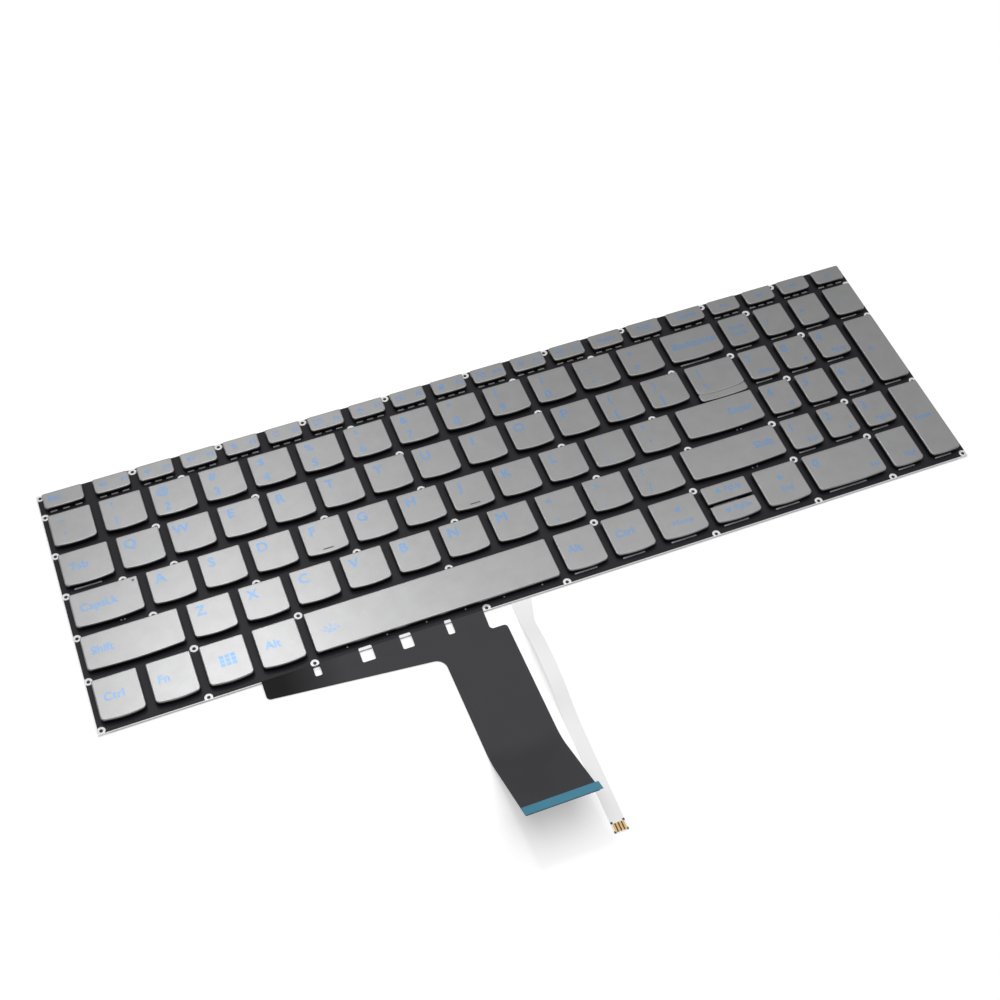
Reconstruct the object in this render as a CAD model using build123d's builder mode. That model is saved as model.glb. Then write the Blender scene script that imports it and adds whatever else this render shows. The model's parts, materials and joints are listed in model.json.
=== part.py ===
from build123d import *
from collections import namedtuple
from math import atan, degrees, sin
import os

# A full-size notebook keyboard module with a number pad. The frame is in millimetres, +Z up.
# X runs along the key rows, Y points from the space bar to the function row, and the origin is
# the middle of the underside, which lies on the table.

# Flat layers, from the table up
reflector_thickness = 0.15
guide_thickness = 0.35
plate_thickness = 0.50
sheet_thickness = 0.25
film_inset = 0.30
guide_inset = 0.60
reflector_inset = 0.05
layer_corner_cut = 4.0

# Key caps and their travel
key_travel = 1.30
travel_clearance = 0.05
cap_height = 1.40
cap_roof = 0.70
cap_wall = 1.00
cap_front_wall = 0.70
cap_corner = 1.20
cap_bow = 0.85
pad_bow = 0.60
slim_bow = 0.25
ledge_drop = 0.30
ledge_gap = 0.30

# Key field
column_pitch = 19.0
row_pitch = 18.5
cap_width = 16.0
cap_depth = 15.2
bottom_depth = 17.25
tab_width = 18.3
caps_lock_width = 25.0
shift_width = 35.1
backspace_width = 22.6
slash_width = 18.4
space_width = 92.0
half_key_gap = 1.2
pad_pitch = 15.77
pad_width = 12.70
pad_offset = 3.10
escape_width = 15.1
function_start = 19.0
function_pitch = 16.76
function_width = 13.65
function_depth = 7.4
function_gap = 3.1
delete_width = 15.3

# Plate margins around the key field
left_margin = 2.25
right_margin = 1.75
front_margin = 2.60
back_margin = 1.85

# Stakes that fasten the plate, and the clearances around them in the black sheet
stake_radius = 0.65
stake_inset = 1.35
edge_stake_inset = 0.90
ribbon_stake_gap = 1.70
ring_radius = 1.55
ring_sides = 6

# Key carriers: rubber domes, scissor frames and stabiliser bars
dome_radius = 2.4
dome_sides = 4
dome_taper = 20.0
frame_length = 10.6
frame_thickness = 0.60
frame_arm = 1.00
frame_bar = 0.70
frame_min_length = 8.0
carrier_clearance = 0.20
carrier_span = 60.0
bar_wire = 0.55
bar_leg = 3.0
bar_min_width = 22.0

# Ribbon of circuit film that leaves the front edge, and the stiffener on its raised end
flange_left = 57.3
flange_right = 139.0
flange_depth = 7.2
flange_slope = 0.1
flange_corner = 1.5
shoulder_depth = 7.8
shoulder_width = 5.3
shoulder_corner = 1.4
ribbon_right = 145.2
ribbon_width = 25.7
ribbon_skew = 1.9
ribbon_corner = 4.0
ribbon_rest = 0.18
ribbon_lead = 0.40
ribbon_drop_run = 4.0
ribbon_flat = 42.5
ribbon_bend_radius = 18.0
ribbon_bend_angle = 31.0
ribbon_ramp = 30.0
window_depth = 5.0
window_reach = 0.9
window_bridge = 1.2
small_window_depth = 3.3
small_window_width = 2.5
small_window_place = 76.8
window_spans = {95.0: 4.8, 109.7: 4.2, 125.7: 2.5}
stiffener_thickness = 0.20
stiffener_length = 7.5
stiffener_ear = 1.0

# Backlight tail with its lamps and contact pads
tail_left = 149.6
tail_width = 5.1
tail_root_width = 7.9
tail_thickness = 0.12
tail_root = 8.0
tail_lead = 0.9
tail_hump = 4.3
tail_hump_quarter = 14.0
tail_flat = 37.6
tail_flare = 10.0
tail_rest = 0.02
tail_clearance = 0.40
lamp_count = 2
lamp_length = 2.2
lamp_width = 1.2
lamp_clearance = 0.03
contact_count = 4
contact_pitch = 1.15
contact_width = 0.65
contact_length = 3.2
contact_thickness = 0.03
contact_inset = 0.35

# Levels and outline that follow from the sizes above
guide_bottom = reflector_thickness
plate_bottom = guide_bottom + guide_thickness
sheet_bottom = plate_bottom + plate_thickness
sheet_top = sheet_bottom + sheet_thickness
cap_bottom = sheet_top + key_travel + travel_clearance
cap_top = cap_bottom + cap_height
pocket_top = cap_top - cap_roof
carrier_rise = pocket_top - sheet_top
key_gap = column_pitch - cap_width
row_gap = row_pitch - cap_depth
main_width = 13 * column_pitch + backspace_width
field_width = main_width + pad_offset + 3 * pad_pitch + pad_width
field_depth = bottom_depth + 4 * row_pitch + function_gap + function_depth
plate_width = left_margin + field_width + right_margin
plate_depth = front_margin + field_depth + back_margin
plate_left = -plate_width / 2
plate_front = -plate_depth / 2
field_left = plate_left + left_margin
field_front = plate_front + front_margin
film_width = plate_width - 2 * film_inset
film_depth = plate_depth - 2 * film_inset
film_front = -film_depth / 2

# Rows of keys, each with its back and front edge
Key = namedtuple("Key", "name left right back front bow")
bottom_back = field_front + bottom_depth
row_fronts = [bottom_back + row_gap + i * row_pitch for i in range(4)]
row_backs = [front + cap_depth for front in row_fronts]
function_front = row_backs[3] + function_gap
function_back = function_front + function_depth
main_right = field_left + main_width
pad_lefts = [main_right + pad_offset + i * pad_pitch for i in range(4)]


def lay_row(names, widths, back, front):
    """Sets keys side by side from the left of the field; the last one fills the main block."""
    keys = []
    left = field_left
    for name, width in zip(names, widths):
        keys.append(Key(name, left, left + width, back, front, cap_bow))
        left += width + key_gap
    return keys + [Key(names[-1], left, main_right, back, front, cap_bow)]


def lay_pads(names, back, front):
    """Sets number pad keys on the columns of the pad."""
    return [Key(n, x, x + pad_width, back, front, pad_bow) for n, x in zip(names, pad_lefts)]


z_names = ["left_shift", *"zxcvbnm", "comma", "period", "slash", "right_shift"]
a_names = ["caps_lock", *"asdfghjkl", "semicolon", "quote", "enter"]
q_names = ["tab", *"qwertyuiop", "left_bracket", "right_bracket", "backslash"]
number_names = ["grave", *"1234567890", "minus", "equals", "backspace"]
z_widths = [shift_width] + 9 * [cap_width] + [slash_width]
z_row = lay_row(z_names, z_widths, row_backs[0], row_fronts[0])
a_row = lay_row(a_names, [caps_lock_width] + 11 * [cap_width], row_backs[1], row_fronts[1])
q_row = lay_row(q_names, [tab_width] + 12 * [cap_width], row_backs[2], row_fronts[2])
number_row = lay_row(number_names, 13 * [cap_width], row_backs[3], row_fronts[3])

bottom_names = ["left_ctrl", "fn", "system", "left_alt", "space"]
bottom_names += ["right_alt", "right_ctrl", "left", "up", "right"]
bottom_widths = 4 * [cap_width] + [space_width] + 2 * [cap_width] + 2 * [slash_width]
bottom_row = lay_row(bottom_names, bottom_widths, bottom_back, field_front)
bottom_row[4] = bottom_row[4]._replace(bow=slim_bow)
half_depth = (bottom_depth - half_key_gap) / 2
up_key = bottom_row[8]._replace(front=bottom_back - half_depth, bow=0.0)
down_key = bottom_row[8]._replace(name="down", back=field_front + half_depth)

function_spans = [(field_left, escape_width)]
for i in range(14):
    function_spans.append((field_left + function_start + i * function_pitch, function_width))
function_spans.append((main_right - delete_width, delete_width))
function_spans += [(left, pad_width) for left in pad_lefts]
function_row = []
for i, (left, width) in enumerate(function_spans):
    function_row.append(Key(f"f{i}", left, left + width, function_back, function_front, slim_bow))

top_pads = lay_pads(["num_lock", "divide", "multiply", "subtract"], row_backs[3], row_fronts[3])
pad_keys = top_pads + lay_pads("789", row_backs[2], row_fronts[2])
pad_keys += lay_pads("456", row_backs[1], row_fronts[1]) + lay_pads("123", row_backs[0], row_fronts[0])
last_pad = top_pads[3]
pad_keys.append(last_pad._replace(name="add", back=row_backs[2], front=row_fronts[1]))
pad_keys.append(last_pad._replace(name="pad_enter", back=row_backs[0], front=field_front))
bottom_pads = lay_pads(["0", "00", "point"], bottom_back, field_front)
pad_keys += [bottom_pads[0]._replace(right=bottom_pads[1].right), bottom_pads[2]]

# Each key of the letter rows, and of the bottom row up to the space bar, is a piece of its own.
# The keys of the other rows share one node a row.
cap_nodes = {f"key_{key.name}": [key] for key in q_row + a_row + z_row + bottom_row[:5]}
cap_nodes["function_row_caps"] = function_row
cap_nodes["number_row_caps"] = number_row
cap_nodes["number_pad_caps"] = pad_keys
cap_nodes["arrow_cluster_caps"] = bottom_row[5:8] + [up_key, down_key, bottom_row[9]]


def pocket_of(key):
    """Returns the left, right, back and front edge of the hollow under a cap."""
    front = key.front + key.bow + cap_front_wall
    return key.left + cap_wall, key.right - cap_wall, key.back - cap_wall, front


def gaps_after(row, places):
    """Returns the middle of the gap to the right of each key whose place in the row is given."""
    return [(row[i].right + row[i + 1].left) / 2 for i in places]


os.makedirs("parts", exist_ok=True)

# Key caps: shallow shells with a bowed front edge and eased front corners
for node, keys in cap_nodes.items():
    with BuildPart() as caps:
        with BuildSketch(Plane.XY.offset(cap_bottom)):
            for key in keys:
                side_front = key.front + key.bow
                left_corner = (key.left, side_front)
                right_corner = (key.right, side_front)
                with BuildLine():
                    Polyline(left_corner, (key.left, key.back), (key.right, key.back), right_corner)
                    if key.bow:
                        middle = ((key.left + key.right) / 2, key.front)
                        ThreePointArc(right_corner, middle, left_corner)
                    else:
                        Line(right_corner, left_corner)
                make_face()
                if key.bow:
                    chamfer(vertices(Select.LAST).group_by(Axis.Y)[0], cap_corner)
        extrude(amount=cap_height)
        if node == "key_backslash":
            # A lower ledge in front of this cap closes the space up to the enter key
            ledge_front = row_backs[1] + ledge_gap
            ledge_depth = pocket_of(key)[3] - ledge_front
            with BuildSketch(Plane.XY.offset(cap_bottom)):
                with Locations((key.left, ledge_front)):
                    Rectangle(key.right - key.left, ledge_depth, align=(Align.MIN, Align.MIN))
                fillet(vertices().sort_by_distance((key.left, ledge_front))[0], cap_corner)
            extrude(amount=cap_height - ledge_drop)
        with BuildSketch(Plane.XY.offset(cap_bottom)):
            for key in keys:
                left, right, back, front = pocket_of(key)
                with Locations((left, front)):
                    Rectangle(right - left, back - front, align=(Align.MIN, Align.MIN))
        extrude(amount=cap_height - cap_roof, mode=Mode.SUBTRACT)
    caps.part.label = node
    export_step(caps.part, f"parts/{node}.step")

# Places of the key carriers: one under the middle of each cap, and two under the space bar
Carrier = namedtuple("Carrier", "x y width length paired")
carriers = []
for keys in cap_nodes.values():
    for key in keys:
        left, right, back, front = pocket_of(key)
        count = 1 + int((right - left) // carrier_span)
        step = (right - left) / count
        width = min(step, cap_width - 2 * cap_wall) - 2 * carrier_clearance
        length = min(frame_length, back - front - 2 * carrier_clearance)
        for i in range(count):
            x = left + (i + 0.5) * step
            carriers.append(Carrier(x, (back + front) / 2, width, length, len(keys) == 1))

# Rubber domes stand on the sheet and push the caps up
with BuildPart() as rubber_domes:
    with BuildSketch(Plane.XY.offset(sheet_top)):
        for carrier in carriers:
            room = carrier.length / 2 - frame_bar - carrier_clearance
            with Locations((carrier.x, carrier.y)):
                RegularPolygon(min(dome_radius, room), dome_sides)
    extrude(amount=carrier_rise, taper=dome_taper)
rubber_domes.part.label = "rubber_domes"
export_step(rubber_domes.part, "parts/rubber_domes.step")

# Scissor frames: an outer frame that rises to the back, crossed by an inner one that rises to the
# front. A frame is open at its raised end, where its two arms meet the roof of the cap. The rows
# that share a node have the outer frames alone, and shallow caps rest on their domes.
with BuildPart() as scissor_frames:
    for carrier in [c for c in carriers if c.length > frame_min_length]:
        inner_width = carrier.width - 2 * (frame_arm + carrier_clearance)
        frames = [(carrier.width, 1), (inner_width, -1)]
        slope = (carrier_rise - frame_thickness) / carrier.length
        middle = (carrier.x, carrier.y, sheet_top + carrier_rise / 2)
        for width, way in frames if carrier.paired else frames[:1]:
            with BuildSketch(Plane(middle, x_dir=(1, 0, 0), z_dir=(0, -way * slope, 1))):
                Rectangle(width, carrier.length)
                with Locations((0, way * frame_bar / 2)):
                    opening = (width - 2 * frame_arm, carrier.length - frame_bar)
                    Rectangle(*opening, mode=Mode.SUBTRACT)
    extrude(amount=frame_thickness / 2, both=True)
scissor_frames.part.label = "scissor_frames"
export_step(scissor_frames.part, "parts/scissor_frames.step")

# Stabiliser bars: a bent wire in front of the scissor frames of each wide key
with BuildPart() as stabiliser_bars:
    with BuildSketch(Plane.XY.offset(sheet_top)):
        for key in [key for keys in cap_nodes.values() for key in keys]:
            if key.right - key.left < bar_min_width:
                continue
            left, right, back, front = pocket_of(key)
            bar_front = front + carrier_clearance
            bar_left = left + carrier_clearance
            bar_width = right - left - 2 * carrier_clearance
            with Locations((bar_left, bar_front)):
                Rectangle(bar_width, bar_wire, align=(Align.MIN, Align.MIN))
                Rectangle(bar_wire, bar_leg, align=(Align.MIN, Align.MIN))
            with Locations((bar_left + bar_width, bar_front)):
                Rectangle(bar_wire, bar_leg, align=(Align.MAX, Align.MIN))
    extrude(amount=bar_wire)
stabiliser_bars.part.label = "stabiliser_bars"
export_step(stabiliser_bars.part, "parts/stabiliser_bars.step")

# Stakes stand in the gaps between keys, row by row, and along the edges of the plate
stake_left = plate_left + stake_inset
stake_right = -stake_left
stake_front = plate_front + stake_inset
edge_front = plate_front + edge_stake_inset
main_gap = main_right + pad_offset / 2
pad_gaps = gaps_after(top_pads, range(3))
ribbon_stake = plate_left + flange_right + ribbon_stake_gap
flange_stake = gaps_after(bottom_row, (3,))[0]
stake_rows = {
    edge_front: [*gaps_after(bottom_row, (1, 3, 4, 7)), ribbon_stake, main_gap, pad_gaps[1]],
    row_fronts[0] - row_gap / 2: [stake_left, *gaps_after(z_row, (0, 2, 5, 8, 10)), main_gap, pad_gaps[1]],
    row_fronts[1] - row_gap / 2: [stake_left, *gaps_after(a_row, (0, 2, 4, 6, 9, 11)), main_gap],
    row_fronts[2] - row_gap / 2: [stake_left, *gaps_after(q_row, (0, 1, 4, 6, 9, 11)), pad_gaps[0]],
    row_fronts[3] - row_gap / 2: [stake_left, *gaps_after(number_row, (1, 3, 6, 9, 12)), main_gap],
    function_front - function_gap / 2: [stake_left, *gaps_after(function_row, (2, 6, 10, 12))],
    -stake_front: [*gaps_after(function_row, (1, 3, 5, 7, 9, 11, 13)), main_gap, pad_gaps[1]],
}
stake_rows[row_fronts[1] - row_gap / 2] += [pad_gaps[1], stake_right]
stake_rows[row_fronts[3] - row_gap / 2] += [pad_gaps[1], stake_right]
stake_rows[function_front - function_gap / 2] += [pad_gaps[0], stake_right]
stakes = [(x, y) for y, places in stake_rows.items() for x in places]
corner_stakes = [(x, y) for x in (stake_left, stake_right) for y in (stake_front, -stake_front)]

# Base plate: stamped sheet metal with round mounting holes at the corners
with BuildPart() as base_plate:
    with BuildSketch(Plane.XY.offset(plate_bottom)):
        Rectangle(plate_width, plate_depth)
        with Locations(*corner_stakes):
            Circle(stake_radius, mode=Mode.SUBTRACT)
    extrude(amount=plate_thickness)
base_plate.part.label = "base_plate"
export_step(base_plate.part, "parts/base_plate.step")

# Black membrane sheet, cut clear of every stake and of the windows in the ribbon's flange
with BuildPart() as membrane_sheet:
    with BuildSketch(Plane.XY.offset(sheet_bottom)):
        Rectangle(film_width, film_depth)
        chamfer(vertices(), 2 * (stake_inset - film_inset))
        with Locations(*stakes, *corner_stakes):
            RegularPolygon(ring_radius, ring_sides, mode=Mode.SUBTRACT)
        for place, width in window_spans.items():
            with Locations((plate_left + place, film_front)):
                Rectangle(width, 2 * window_reach, mode=Mode.SUBTRACT)
    extrude(amount=sheet_thickness)
membrane_sheet.part.label = "membrane_sheet"
export_step(membrane_sheet.part, "parts/membrane_sheet.step")

# Light guide, with a slot in its front edge for the root of the backlight tail
tail_start = plate_left + tail_left
slot_width = tail_root_width + 2 * tail_clearance
slot_depth = tail_root + tail_clearance
with BuildPart() as light_guide:
    with BuildSketch(Plane.XY.offset(guide_bottom)):
        Rectangle(plate_width - 2 * guide_inset, plate_depth - 2 * guide_inset)
        chamfer(vertices(), layer_corner_cut)
        with Locations((tail_start - tail_clearance, plate_front)):
            Rectangle(slot_width, slot_depth, align=(Align.MIN, Align.MIN), mode=Mode.SUBTRACT)
    extrude(amount=guide_thickness)
light_guide.part.label = "light_guide"
export_step(light_guide.part, "parts/light_guide.step")

# Reflector film under the light guide
with BuildPart() as reflector_film:
    with BuildSketch():
        Rectangle(plate_width - 2 * reflector_inset, plate_depth - 2 * reflector_inset)
        chamfer(vertices(), layer_corner_cut)
    extrude(amount=reflector_thickness)
reflector_film.part.label = "reflector_film"
export_step(reflector_film.part, "parts/reflector_film.step")


def step_arcs(run, rise):
    """Returns the turn and the radius of the two equal arcs that carry a strip over a step."""
    turn = 2 * atan(rise / (2 * run))
    return degrees(turn), run / sin(turn)


# Ribbon: the profile of the film as it lies, cut to its outline seen from above
ribbon_level = sheet_bottom + sheet_thickness / 2
ribbon_drop = sheet_bottom - ribbon_rest
drop_turn, drop_radius = step_arcs(ribbon_drop_run, ribbon_drop)
flange_front = film_front - flange_depth
shoulder_front = film_front - shoulder_depth
ribbon_end_right = plate_left + ribbon_right + ribbon_skew
with BuildPart() as ribbon_tail:
    with BuildSketch(Plane.YZ.offset(plate_left)):
        with BuildLine():
            lead_end = (plate_front - ribbon_lead, ribbon_level)
            Line((film_front, ribbon_level), lead_end)
            fall = JernArc(lead_end, (-1, 0), drop_radius, drop_turn)
            land = JernArc(fall @ 1, fall % 1, drop_radius, -drop_turn)
            lying = Line(land @ 1, land @ 1 - (ribbon_flat, 0))
            rising = JernArc(lying @ 1, (-1, 0), ribbon_bend_radius, -ribbon_bend_angle)
            ramp = Line(rising @ 1, rising @ 1 + (rising % 1) * ribbon_ramp)
        trace(line_width=sheet_thickness)
    extrude(amount=plate_width)
    ramp_end = ramp @ 1
    ramp_way = ramp % 1
    outline_end = ramp_end.X - sheet_thickness
    inner_slope = flange_slope * (ribbon_right - ribbon_width - flange_left)
    with BuildSketch():
        flange_corners = [
            (plate_left + flange_left, flange_front),
            (plate_left + ribbon_right - ribbon_width, flange_front - inner_slope),
            (plate_left + flange_right, shoulder_front),
            (plate_left + flange_right + shoulder_width, shoulder_front),
        ]
        with BuildLine():
            Polyline(
                (plate_left + flange_left, film_front),
                *flange_corners[:2],
                (ribbon_end_right - ribbon_width, outline_end),
                (ribbon_end_right, outline_end),
                (plate_left + ribbon_right, shoulder_front),
                flange_corners[2],
                (plate_left + flange_right, film_front),
                close=True,
            )
        make_face()
        for corner, radius in zip(flange_corners, (flange_corner, ribbon_corner, shoulder_corner)):
            fillet(vertices().sort_by_distance(corner)[0], radius)
        fillet(vertices().sort_by_distance((plate_left + ribbon_right, shoulder_front))[0], shoulder_corner)
        for place, width in window_spans.items():
            with Locations((plate_left + place, film_front)):
                Rectangle(width, 2 * window_depth, mode=Mode.SUBTRACT)
        with Locations((plate_left + small_window_place, film_front - window_bridge)):
            window = (small_window_width, small_window_depth)
            Rectangle(*window, align=(Align.CENTER, Align.MAX), mode=Mode.SUBTRACT)
        with Locations((flange_stake, edge_front)):
            RegularPolygon(ring_radius, ring_sides, mode=Mode.SUBTRACT)
    extrude(amount=ramp_end.Y + cap_top, mode=Mode.INTERSECT)
ribbon_tail.part.label = "ribbon_tail"
export_step(ribbon_tail.part, "parts/ribbon_tail.step")

# Stiffener on the top of the ribbon's raised end, with an ear past its right edge
ramp_up = Vector(0, ramp_way.Y, -ramp_way.X)
stiffener_origin = Vector(ribbon_end_right - ribbon_width, ramp_end.X, ramp_end.Y)
stiffener_origin += ramp_up * (sheet_thickness / 2)
with BuildPart() as ribbon_stiffener:
    with BuildSketch(Plane(stiffener_origin, x_dir=(1, 0, 0), z_dir=ramp_up)):
        Rectangle(ribbon_width + stiffener_ear, stiffener_length, align=(Align.MIN, Align.MIN))
    extrude(amount=stiffener_thickness)
ribbon_stiffener.part.label = "ribbon_stiffener"
export_step(ribbon_stiffener.part, "parts/ribbon_stiffener.step")

# Backlight tail: a narrow white strip that leaves the light guide's slot, rises in a low hump
# and comes down to the table
tail_level = guide_bottom + tail_thickness / 2
rise_turn, rise_radius = step_arcs(tail_hump_quarter, tail_hump)
fall_turn, fall_radius = step_arcs(tail_hump_quarter, tail_hump + guide_bottom - tail_rest)
with BuildPart() as backlight_tail:
    with BuildSketch(Plane.YZ.offset(tail_start)):
        with BuildLine():
            seat = Line((plate_front + tail_root, tail_level), (plate_front - tail_lead, tail_level))
            lift = JernArc(seat @ 1, seat % 1, rise_radius, -rise_turn)
            crest = JernArc(lift @ 1, lift % 1, rise_radius, rise_turn)
            drop = JernArc(crest @ 1, crest % 1, fall_radius, fall_turn)
            touch = JernArc(drop @ 1, drop % 1, fall_radius, -fall_turn)
            run_out = Line(touch @ 1, touch @ 1 - (tail_flat, 0))
        trace(line_width=tail_thickness)
    extrude(amount=tail_root_width)
    tail_end = (run_out @ 1).X
    with BuildSketch():
        with BuildLine():
            Polyline(
                (tail_start, plate_front + tail_root),
                (tail_start, tail_end),
                (tail_start + tail_width, tail_end),
                (tail_start + tail_width, plate_front - tail_flare),
                (tail_start + tail_root_width, plate_front),
                (tail_start + tail_root_width, plate_front + tail_root),
                close=True,
            )
        make_face()
    extrude(amount=tail_hump + cap_top, mode=Mode.INTERSECT)
backlight_tail.part.label = "backlight_tail"
export_step(backlight_tail.part, "parts/backlight_tail.step")

# Contact pads on the end of the backlight tail
with BuildPart() as backlight_contacts:
    with BuildSketch(Plane.XY.offset(tail_rest + tail_thickness)):
        pads_middle = tail_end + contact_inset + contact_length / 2
        with Locations((tail_start + tail_width / 2, pads_middle)):
            with GridLocations(contact_pitch, 0, contact_count, 1):
                Rectangle(contact_width, contact_length)
    extrude(amount=contact_thickness)
backlight_contacts.part.label = "backlight_contacts"
export_step(backlight_contacts.part, "parts/backlight_contacts.step")

# Lamps on the root of the tail, which shine into the edge of the light guide
lamp_height = guide_thickness - tail_thickness - lamp_clearance
with BuildPart() as backlight_lamps:
    with BuildSketch(Plane.XY.offset(guide_bottom + tail_thickness)):
        lamps_middle = plate_front + tail_root - lamp_width / 2
        with Locations((tail_start + tail_root_width / 2, lamps_middle)):
            with GridLocations(tail_root_width / lamp_count, 0, lamp_count, 1):
                Rectangle(lamp_length, lamp_width)
    extrude(amount=lamp_height)
backlight_lamps.part.label = "backlight_lamps"
export_step(backlight_lamps.part, "parts/backlight_lamps.step")
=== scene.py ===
"""Looks of a notebook keyboard module: painted caps, print, film, tails and the parts under the keys.

Sizes of pieces are in millimetres in the part's own frame and become metres when a piece is made.
Finishes and the stage are in metres. X runs along the key rows, Y points from the space bar to the
function row, and Z is up from the table.
"""

import json
import logging
from collections.abc import Iterable
from dataclasses import dataclass, field, replace
from enum import Enum
from functools import lru_cache

import bpy
import numpy as np
from mathutils import Matrix, Vector
from mathutils.geometry import delaunay_2d_cdt

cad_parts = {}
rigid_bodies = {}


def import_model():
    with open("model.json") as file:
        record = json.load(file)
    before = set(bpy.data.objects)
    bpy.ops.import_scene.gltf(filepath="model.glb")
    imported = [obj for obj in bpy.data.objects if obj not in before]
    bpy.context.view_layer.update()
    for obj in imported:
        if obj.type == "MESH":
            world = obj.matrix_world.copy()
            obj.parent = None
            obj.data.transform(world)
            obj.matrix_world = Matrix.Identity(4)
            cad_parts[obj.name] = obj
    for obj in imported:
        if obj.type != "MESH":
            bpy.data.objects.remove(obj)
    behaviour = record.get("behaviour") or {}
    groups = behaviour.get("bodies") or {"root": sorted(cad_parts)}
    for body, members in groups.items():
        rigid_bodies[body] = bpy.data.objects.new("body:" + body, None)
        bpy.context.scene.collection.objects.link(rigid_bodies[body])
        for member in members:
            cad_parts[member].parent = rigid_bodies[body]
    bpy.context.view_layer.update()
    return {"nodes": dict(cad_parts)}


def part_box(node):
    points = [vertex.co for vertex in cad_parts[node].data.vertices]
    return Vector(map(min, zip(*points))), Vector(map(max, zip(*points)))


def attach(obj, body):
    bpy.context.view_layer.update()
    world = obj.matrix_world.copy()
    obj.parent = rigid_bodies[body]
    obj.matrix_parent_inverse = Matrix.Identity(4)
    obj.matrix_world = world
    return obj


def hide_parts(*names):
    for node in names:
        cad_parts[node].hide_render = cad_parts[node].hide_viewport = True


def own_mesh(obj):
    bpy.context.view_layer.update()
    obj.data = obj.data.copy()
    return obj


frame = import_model()

MM = 0.001
SHARP_TURN = np.radians(38.0)
WELD_GAP = 1e-5
WHITE = (1.0, 1.0, 1.0)
BLACK = (0.0, 0.0, 0.0)
LOG = logging.getLogger("keyboard")

Colour = tuple[float, float, float]
Triple = tuple[float, float, float]

# Points, triangles and free edges of a flat sheet
Divided = tuple[np.ndarray, np.ndarray, np.ndarray]


# Surfaces


@dataclass
class Surface:
    """Points in millimetres, with faces in arrays that each hold faces of one corner count."""

    points: np.ndarray
    faces: list[np.ndarray]

    @staticmethod
    def join(parts: Iterable["Surface"]) -> "Surface":
        """Puts several surfaces into one.

        Args:
            parts: The surfaces, in the order that their points take.

        Returns:
            One surface with the faces renumbered.
        """
        parts = list(parts)
        starts = np.cumsum([0] + [len(part.points) for part in parts])
        faces = [block + start for part, start in zip(parts, starts) for block in part.faces]
        return Surface(np.vstack([part.points for part in parts]), faces)

    def moved(self, x: float, y: float, z: float) -> "Surface":
        """Returns the surface shifted by x, y and z."""
        return Surface(self.points + np.array([x, y, z]), self.faces)

    def piece(self, name: str, finish: "Finish", body: str = "root") -> bpy.types.Object:
        """Makes the surface a finished object that moves with a body, crisp at its sharp turns.

        Args:
            name: The object's name.
            finish: What it is made of.
            body: The body that it rides on.

        Returns:
            The object, at the origin, with its place in its mesh.
        """
        mesh = bpy.data.meshes.new(name)
        corners = [face for block in self.faces for face in block.tolist()]
        mesh.from_pydata((self.points * MM).tolist(), [], corners)
        mesh.materials.append(material_of(finish))
        mesh.shade_smooth()
        mesh.set_sharp_from_angle(angle=SHARP_TURN)
        piece = bpy.data.objects.new(name, mesh)
        bpy.context.scene.collection.objects.link(piece)
        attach(piece, body)
        LOG.info("%s: %d faces on %s", name, len(mesh.polygons), body)
        return piece


def loft(rings: np.ndarray, hoop: bool = False) -> Surface:
    """Skins a stack of rings.

    Ring number and place round the ring are the two parameters of the grid, and neighbours in both
    make a quad. A stack is closed by a flat face at each end, and a hoop joins its last ring to its first.

    Args:
        rings: Points in an array of rings by points by three.
        hoop: Whether the stack runs back into itself.

    Returns:
        The closed skin.
    """
    index = np.arange(rings.shape[0] * rings.shape[1]).reshape(rings.shape[:2])
    low = index if hoop else index[:-1]
    high = np.roll(index, -1, axis=0) if hoop else index[1:]
    quads = np.stack([low, np.roll(low, -1, axis=1), np.roll(high, -1, axis=1), high], axis=-1)
    faces = [quads.reshape(-1, 4)]
    if not hoop:
        faces += [index[:1, ::-1], index[-1:]]
    return Surface(rings.reshape(-1, 3), faces)


def at_height(outline: np.ndarray, height: float) -> np.ndarray:
    """Returns a flat outline as points at one height."""
    return np.column_stack([outline, np.full(len(outline), height)])


def prism(outline: np.ndarray, bottom: float, top: float) -> Surface:
    """Returns the solid over a flat outline: the outline at two heights, skinned."""
    return loft(np.stack([at_height(outline, bottom), at_height(outline, top)]))


def tube_ring(outer: np.ndarray, inner: np.ndarray, bottom: float, top: float) -> Surface:
    """Builds the solid between two flat outlines: four rings skinned as a hoop.

    Args:
        outer: Its outer edge.
        inner: Its inner edge, with as many points.
        bottom: Height of its lower face.
        top: Height of its upper face.

    Returns:
        The closed ring.
    """
    corners = [(outer, bottom), (outer, top), (inner, top), (inner, bottom)]
    return loft(np.stack([at_height(outline, height) for outline, height in corners]), hoop=True)


def circle(radius: float, sides: int, x: float = 0.0, y: float = 0.0) -> np.ndarray:
    """Returns points evenly round a circle, anticlockwise."""
    turn = np.linspace(0.0, 2.0 * np.pi, sides, endpoint=False)
    return np.column_stack([x + radius * np.cos(turn), y + radius * np.sin(turn)])


def revolve(profile: list[tuple[float, float]], sides: int) -> Surface:
    """Returns a turned solid: each radius and height of the profile gives one round ring."""
    return loft(np.stack([at_height(circle(radius, sides), height) for radius, height in profile]))


def rectangle(left: float, front: float, right: float, back: float) -> np.ndarray:
    """Returns the corners of a rectangle, anticlockwise."""
    return np.array([(left, front), (right, front), (right, back), (left, back)])


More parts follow.
